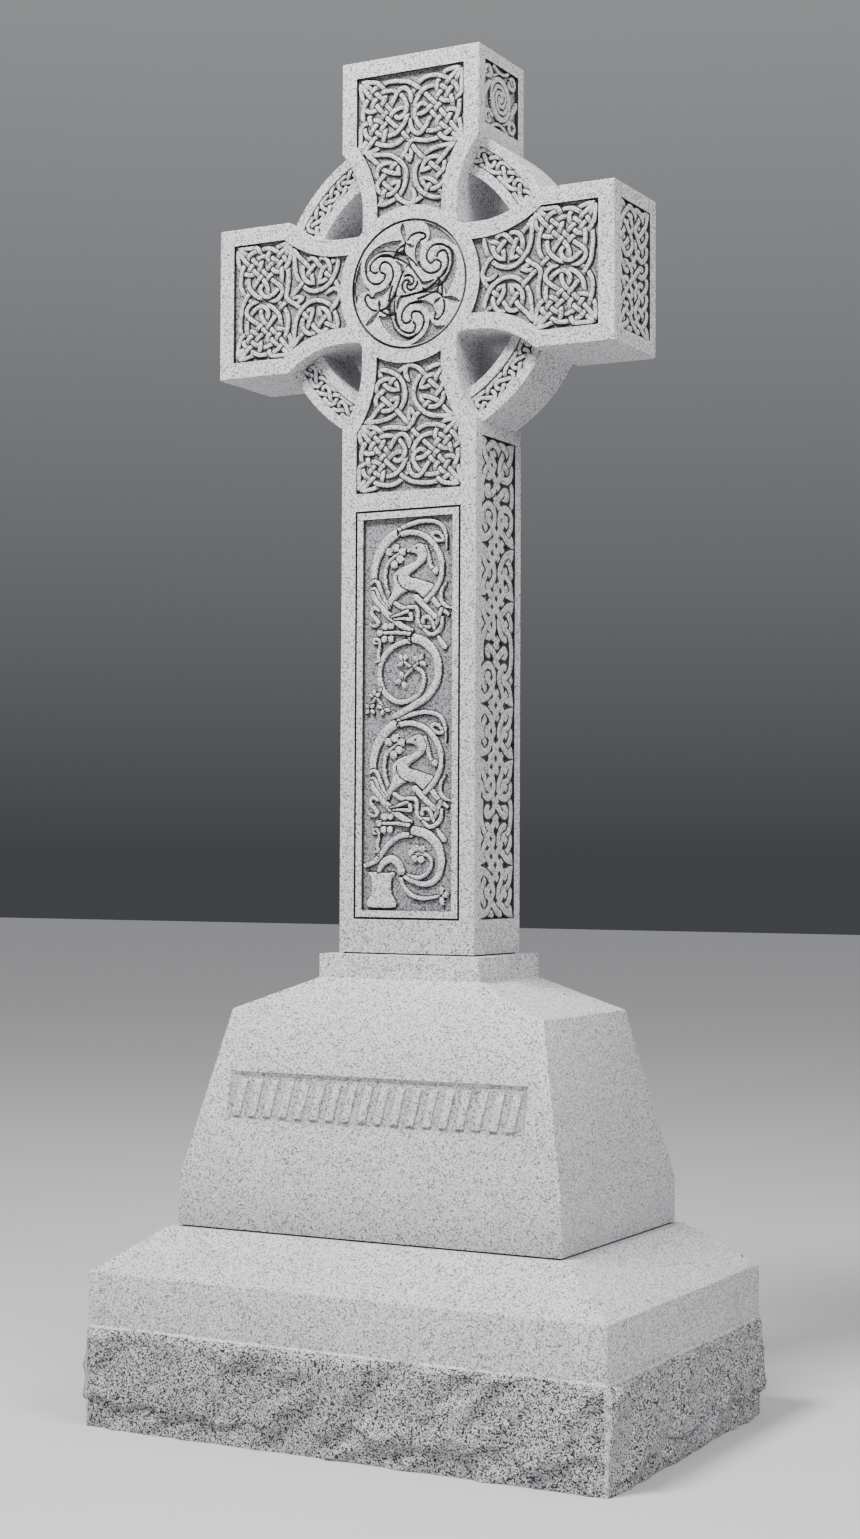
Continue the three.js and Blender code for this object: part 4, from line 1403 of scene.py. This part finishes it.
def carve_roundels(faces):
    radius = ROUNDEL_RADIUS - ROUNDEL_GROOVE / 2
    work = round_canvas(radius, ROUNDEL_STEP, -0.2)
    for third in range(3):
        for points in ROUNDEL_SUNK:
            sunk_shape(work, third_turned(points, third), 8, 4)
        for points in ROUNDEL_LINES:
            groove_line(work, third_turned(points, third), 7.5, 7)
    front = relief_block("front_roundel", work, faces["front"], -3.5)
    plain_work = round_canvas(radius, PLAIN_STEP, -0.2)
    back = relief_block("back_roundel", plain_work, faces["back"], -3.5)
    return [front, back]


# Vine on the front of the shaft. Places are u from the panel's left edge and d down from its top.
# The coil with its beast stands in the panel twice, the second time COIL_DROP lower.

COIL_DROP = 516


def petals(work, places, ways, length=26, width=15):
    leaf = [(2, 0), (0.45 * length, width / 2), (length, 0), (0.45 * length, -width / 2)]
    for place in places:
        for way in ways:
            turn = Matrix.Rotation(math.radians(way), 2)
            outline = [turn @ Vector(point) + Vector(place) for point in leaf]
            blob(work, outline, fall=3, shoulder=4, gap=1.6)


def berries(work, places, radius=11.8):
    for place in places:
        blob(work, circle(*place, radius, 12), fall=3, shoulder=5, gap=1.6)


# A coil of the vine, with the beast that holds it and the berries between
BEAST_COIL = [
    (stroke, [(108, 97), (86, 111), (71, 128), (67, 158), (71, 188), (80, 211)], [5, 9, 9, 8]),
    (stroke, [(110, 30), (142, 20), (178, 13), (213, 15), (237, 26), (250, 46), (255, 70), (256, 92)],
     [10, 11, 10, 9, 8, 3]),
    (stroke, [(236, 50), (215, 45), (211, 57), (224, 67), (246, 68), (238, 54)], [8, 9, 6]),
    (stroke, [(106, 38), (74, 59), (47, 93), (34, 128), (31, 162)], [24, 24, 23, 21, 18]),
    (berries, [(79, 91), (99, 81), (119.5, 93), (112, 113), (95, 126)]),
    (stroke, [(187, 84), (200, 112), (208, 138), (220, 148)], [16, 11, 9, 7]),
    (berries, [(222, 150)], 10),
    (stroke, [(206, 214), (224, 238), (240, 252), (262, 270)], [12, 12, 12, 4]),
    (blob, [(136, 96), (134, 88), (151, 78), (172, 72), (188, 84), (196, 106), (184, 125), (160, 143),
     (142, 154), (142, 163), (160, 167), (187, 176), (216, 188), (202, 211), (184, 220), (166, 205),
     (136, 200), (113, 211), (92, 229), (80, 244), (73, 229), (83, 211), (92, 188), (90, 158), (107, 140),
     (127, 131), (154, 122), (166, 114), (163, 102), (151, 97)]),
    (groove_line, [(105, 156), (108, 176), (122, 191), (142, 200), (163, 203)], 4, 4),
    (groove_line, [(160, 85), (164, 83), (167, 86), (163, 88)], 3, 3),
    (stroke, [(113, 45), (142, 41), (175, 48), (205, 66), (228, 96), (240, 128), (240, 158), (228, 188),
     (210, 211), (188, 231)], [13, 13, 14, 13, 12]),
    (stroke, [(77, 243), (61, 217), (50, 187), (42, 172), (30, 167), (22, 175)], [12, 10, 9, 6]),
    (stroke, [(72, 246), (52, 222), (43, 200), (34, 188), (25, 190)], [9, 9, 8, 5]),
    (stroke, [(27, 200), (39, 223), (68, 256), (98, 280), (125, 298), (147, 309)], [10, 14, 16, 15, 14]),
    (stroke, [(46, 248), (31, 240), (24, 256), (38, 272), (46, 283), (34, 292), (21, 286)], [8, 9, 9, 6]),
    (stroke, [(254, 184), (241, 200), (239, 226), (249, 244), (274, 252)], [4, 9, 9, 3]),
    (stroke, [(98, 232), (122, 245), (158, 244), (168, 258), (167, 280), (179, 297), (197, 300),
     (214, 297)], [10, 10, 10, 9]),
    (stroke, [(240, 253), (231, 276), (219, 300)], [10, 10, 9]),
    (stroke, [(160, 217), (187, 243), (221, 274)], [14, 13, 12]),
    (stroke, [(184, 288), (184, 275), (199, 271), (210, 284), (221, 308)], [9, 9, 9]),
    (stroke, [(187, 306), (206, 321), (228, 313), (241, 296), (243, 276)], [6, 10, 11, 8]),
    (stroke, [(231, 327), (238, 340), (250, 355)], [5, 12, 13]),
    (stroke, [(86, 268), (112, 262), (135, 255), (143, 262)], [3, 7, 9, 9]),
    (stroke, [(95, 275), (122, 274), (148, 277), (145, 262)], [3, 7, 9, 9]),
    (stroke, [(147, 317), (112, 312), (64, 311)], [10, 8, 7]),
    (berries, [(67, 294), (86, 293), (50, 311), (65, 328), (85, 328)], 10),
    (stroke, [(42, 339), (30, 336), (34, 326), (48, 330), (52, 345), (45, 370), (50, 384), (40, 388)],
     [4, 7, 8, 8]),
]

# The middle coil: its stem winds in and ends in three four-petalled leaves
FLOWER_COIL = [
    (stroke, [(147, 336), (119, 339), (86, 354), (59, 383), (50, 419), (56, 454), (74, 481), (107, 499),
     (142, 496), (172, 478), (187, 449), (184, 425), (166, 410), (150, 408)],
     [12, 13, 14, 13, 12, 10, 8]),
    (stroke, [(151, 327), (187, 339), (219, 371), (231, 413), (222, 454), (196, 487), (160, 508),
     (124, 526), (98, 538)], [24, 22, 21, 19, 17, 15]),
    (stroke, [(151, 409), (137, 400), (126, 391)], [6, 5]),
    (stroke, [(151, 409), (163, 401), (172, 392)], [6, 5]),
    (stroke, [(150, 411), (136, 424), (122, 440)], [6, 5]),
    (petals, [(126, 391)], (150, 235, 290)),
    (petals, [(172, 391)], (215, 300, 30)),
    (petals, [(122, 441)], (255, 165, 70)),
    (stroke, [(56, 462), (45, 478), (34, 492)], [7, 5]),
    (stroke, [(40, 484), (52, 500), (62, 514)], [5, 5]),
    (stroke, [(36, 488), (28, 502), (20, 514)], [5, 5]),
    (petals, [(36, 484)], (200, 260, 330), 22, 13),
    (petals, [(21, 516)], (45, 135, 225, 315), 21, 12),
    (petals, [(63, 516)], (20, 110, 200), 22, 13),
]

# The lowest coil, the goose neck that joins it to the pot, and the pot it grows from
FOOT_COIL = [
    (stroke, [(152, 857), (119, 860), (87, 878), (60, 907), (40, 929), (10, 941)], [14, 14, 13, 13, 11]),
    (stroke, [(48, 866), (40, 850), (50, 838), (56, 852), (46, 884), (42, 902), (50, 912)], [5, 8, 8, 5]),
    (stroke, [(134, 966), (170, 973), (199, 961), (213, 937), (207, 918), (187, 909), (160, 909)],
     [9, 10, 9, 8]),
    (berries, [(165, 894), (183, 896), (150, 907), (161, 922), (181, 924)], 10.5),
    (stroke, [(157, 846), (199, 858), (231, 888), (243, 931), (230, 971), (202, 989), (169, 987),
     (140, 976), (122, 964)], [22, 24, 23, 20, 17, 14, 11, 9]),
    (stroke, [(119, 972), (128, 998), (149, 1018), (181, 1028), (217, 1025), (236, 1021)], [9, 10, 9, 7]),
    (petals, [(243, 1021)], (350, 80, 270), 28, 17),
    (blob, [(16, 958), (60, 960), (102, 960), (93, 974), (89, 992), (93, 1020), (106, 1051), (60, 1056),
     (13, 1051), (26, 1020), (30, 996), (26, 974)], 4.5, 4),
    (stroke, [(52, 955), (66, 932), (90, 923), (110, 935), (121, 956)], [10, 17, 20, 19, 20]),
]

# Narrow splits where a stem parts in two
COIL_SPLITS = [
    (groove_line, [(101, 27), (106, 38), (114, 50)], 4, 5),
    (groove_line, [(149, 308), (148, 326), (148, 344)], 4, 5),
]
FOOT_SPLIT = [(groove_line, [(110, 972), (128, 968), (142, 956)], 4, 5)]

# The shapes in the order in which they are carved, each with how much lower than drawn it lies
VINE = [
    (FOOT_COIL, 0), (BEAST_COIL, COIL_DROP), (FLOWER_COIL, 0), (BEAST_COIL, 0), (COIL_SPLITS, 0),
    (COIL_SPLITS, COIL_DROP), (FOOT_SPLIT, 0),
]


def carve_vine(faces):
    gap = 0.8
    sides = [
        np.linspace(gap, length - gap, round(length / RELIEF_STEP))
        for length in (2 * SHAFT_PANEL_HALF, SHAFT_PANEL_HEIGHT)
    ]
    work = canvas(*np.meshgrid(*sides), -SINK + 0.4)
    for shapes, drop in VINE:
        for carve, points, *sizes in shapes:
            carve(work, [(u, d + drop) for u, d in points], *sizes)
    work["u"] = work["u"] - SHAFT_PANEL_HALF
    work["v"] = SHAFT_PANEL_TOP - work["v"]
    return [relief_block("shaft_vine", work, faces["front"], -SINK + 2)]


def carve_shaft_back(faces):
    """The back of the shaft has a broad plain plait of two strands."""
    low, high = (-SHAFT_PANEL_HALF, SHAFT_PANEL_LOW), (SHAFT_PANEL_HALF, SHAFT_PANEL_TOP)
    strands = plait(2, 8, {}, low, high, 28, 6)
    return [carve_strands("shaft_back_plait", strands, SHAFT_BACK_STRAND, faces["back"])]


# Building

base_stone = make_base_stone()
die_stone = make_die_stone()
faces = cross_faces()
cross = make_cross(faces)

for stone, node, slot in (
    (base_stone, "base_stone", "base_granite"),
    (die_stone, "die_stone", "dressed_granite"),
    (cross, "cross", "dressed_granite"),
):
    pick(stone)
    bpy.ops.object.shade_smooth_by_angle(angle=math.radians(30))
    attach(stone, "root")
    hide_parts(node)

carvings = [make_inscription_strokes()]
carvings += carve_arms(faces) + carve_ring(faces) + carve_shaft_sides(faces) + carve_arm_ends(faces)
carvings += carve_top_sides(faces) + carve_roundels(faces) + carve_vine(faces) + carve_shaft_back(faces)
for carving in carvings:
    pick(carving)
    bpy.ops.object.shade_smooth_by_angle(angle=math.radians(50))
    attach(carving, "root")


# Floor, light and camera

def make_stage():
    deselect()
    bpy.ops.mesh.primitive_plane_add(size=80, location=(0, 0, -0.001))
    floor = bpy.context.object
    floor.name = "floor"
    floor.data.materials.append(plain("pale_floor", "#c4c4c4", 0.9))
    world = bpy.data.worlds.new("soft_sky")
    world.use_nodes = True
    tree = world.node_tree
    way = add(tree, "ShaderNodeTexCoord").outputs["Generated"]
    height = add(tree, "ShaderNodeSeparateXYZ", {"Vector": way}).outputs["Z"]
    sky = ramp(tree, height, [(0.0, linear("#585a5e")), (0.75, linear("#fbfcff"))])
    background = tree.nodes["Background"]
    tree.links.new(sky, background.inputs["Color"])
    background.inputs["Strength"].default_value = 0.6
    bpy.context.scene.world = world
    for name, place, size, power in (
        ("key_light", (-1.4, -4.2, 8.4), 2.0, 1200),
        ("fill_light", (5.2, -2.5, 6.6), 3.0, 430),
    ):
        bpy.ops.object.light_add(type="AREA", location=place)
        lamp = bpy.context.object
        lamp.name = name
        lamp.data.size = size
        lamp.data.energy = power
        lamp.rotation_euler = (Vector((0, 0, 1.9)) - Vector(place)).to_track_quat("-Z", "Y").to_euler()


def make_camera():
    """The photograph's viewpoint: eye level 1.53 m, 6.7 m off, seen a little from the right."""
    bpy.ops.object.camera_add(
        location=(3.179, -5.882, 1.532),
        rotation=(math.radians(91.99), math.radians(-0.258), math.radians(28.39)),
    )
    camera = bpy.context.object
    camera.name = "camera"
    camera.data.sensor_width = 36
    camera.data.lens = 57.13
    camera.data.clip_end = 200
    bpy.context.scene.camera = camera


make_stage()
make_camera()
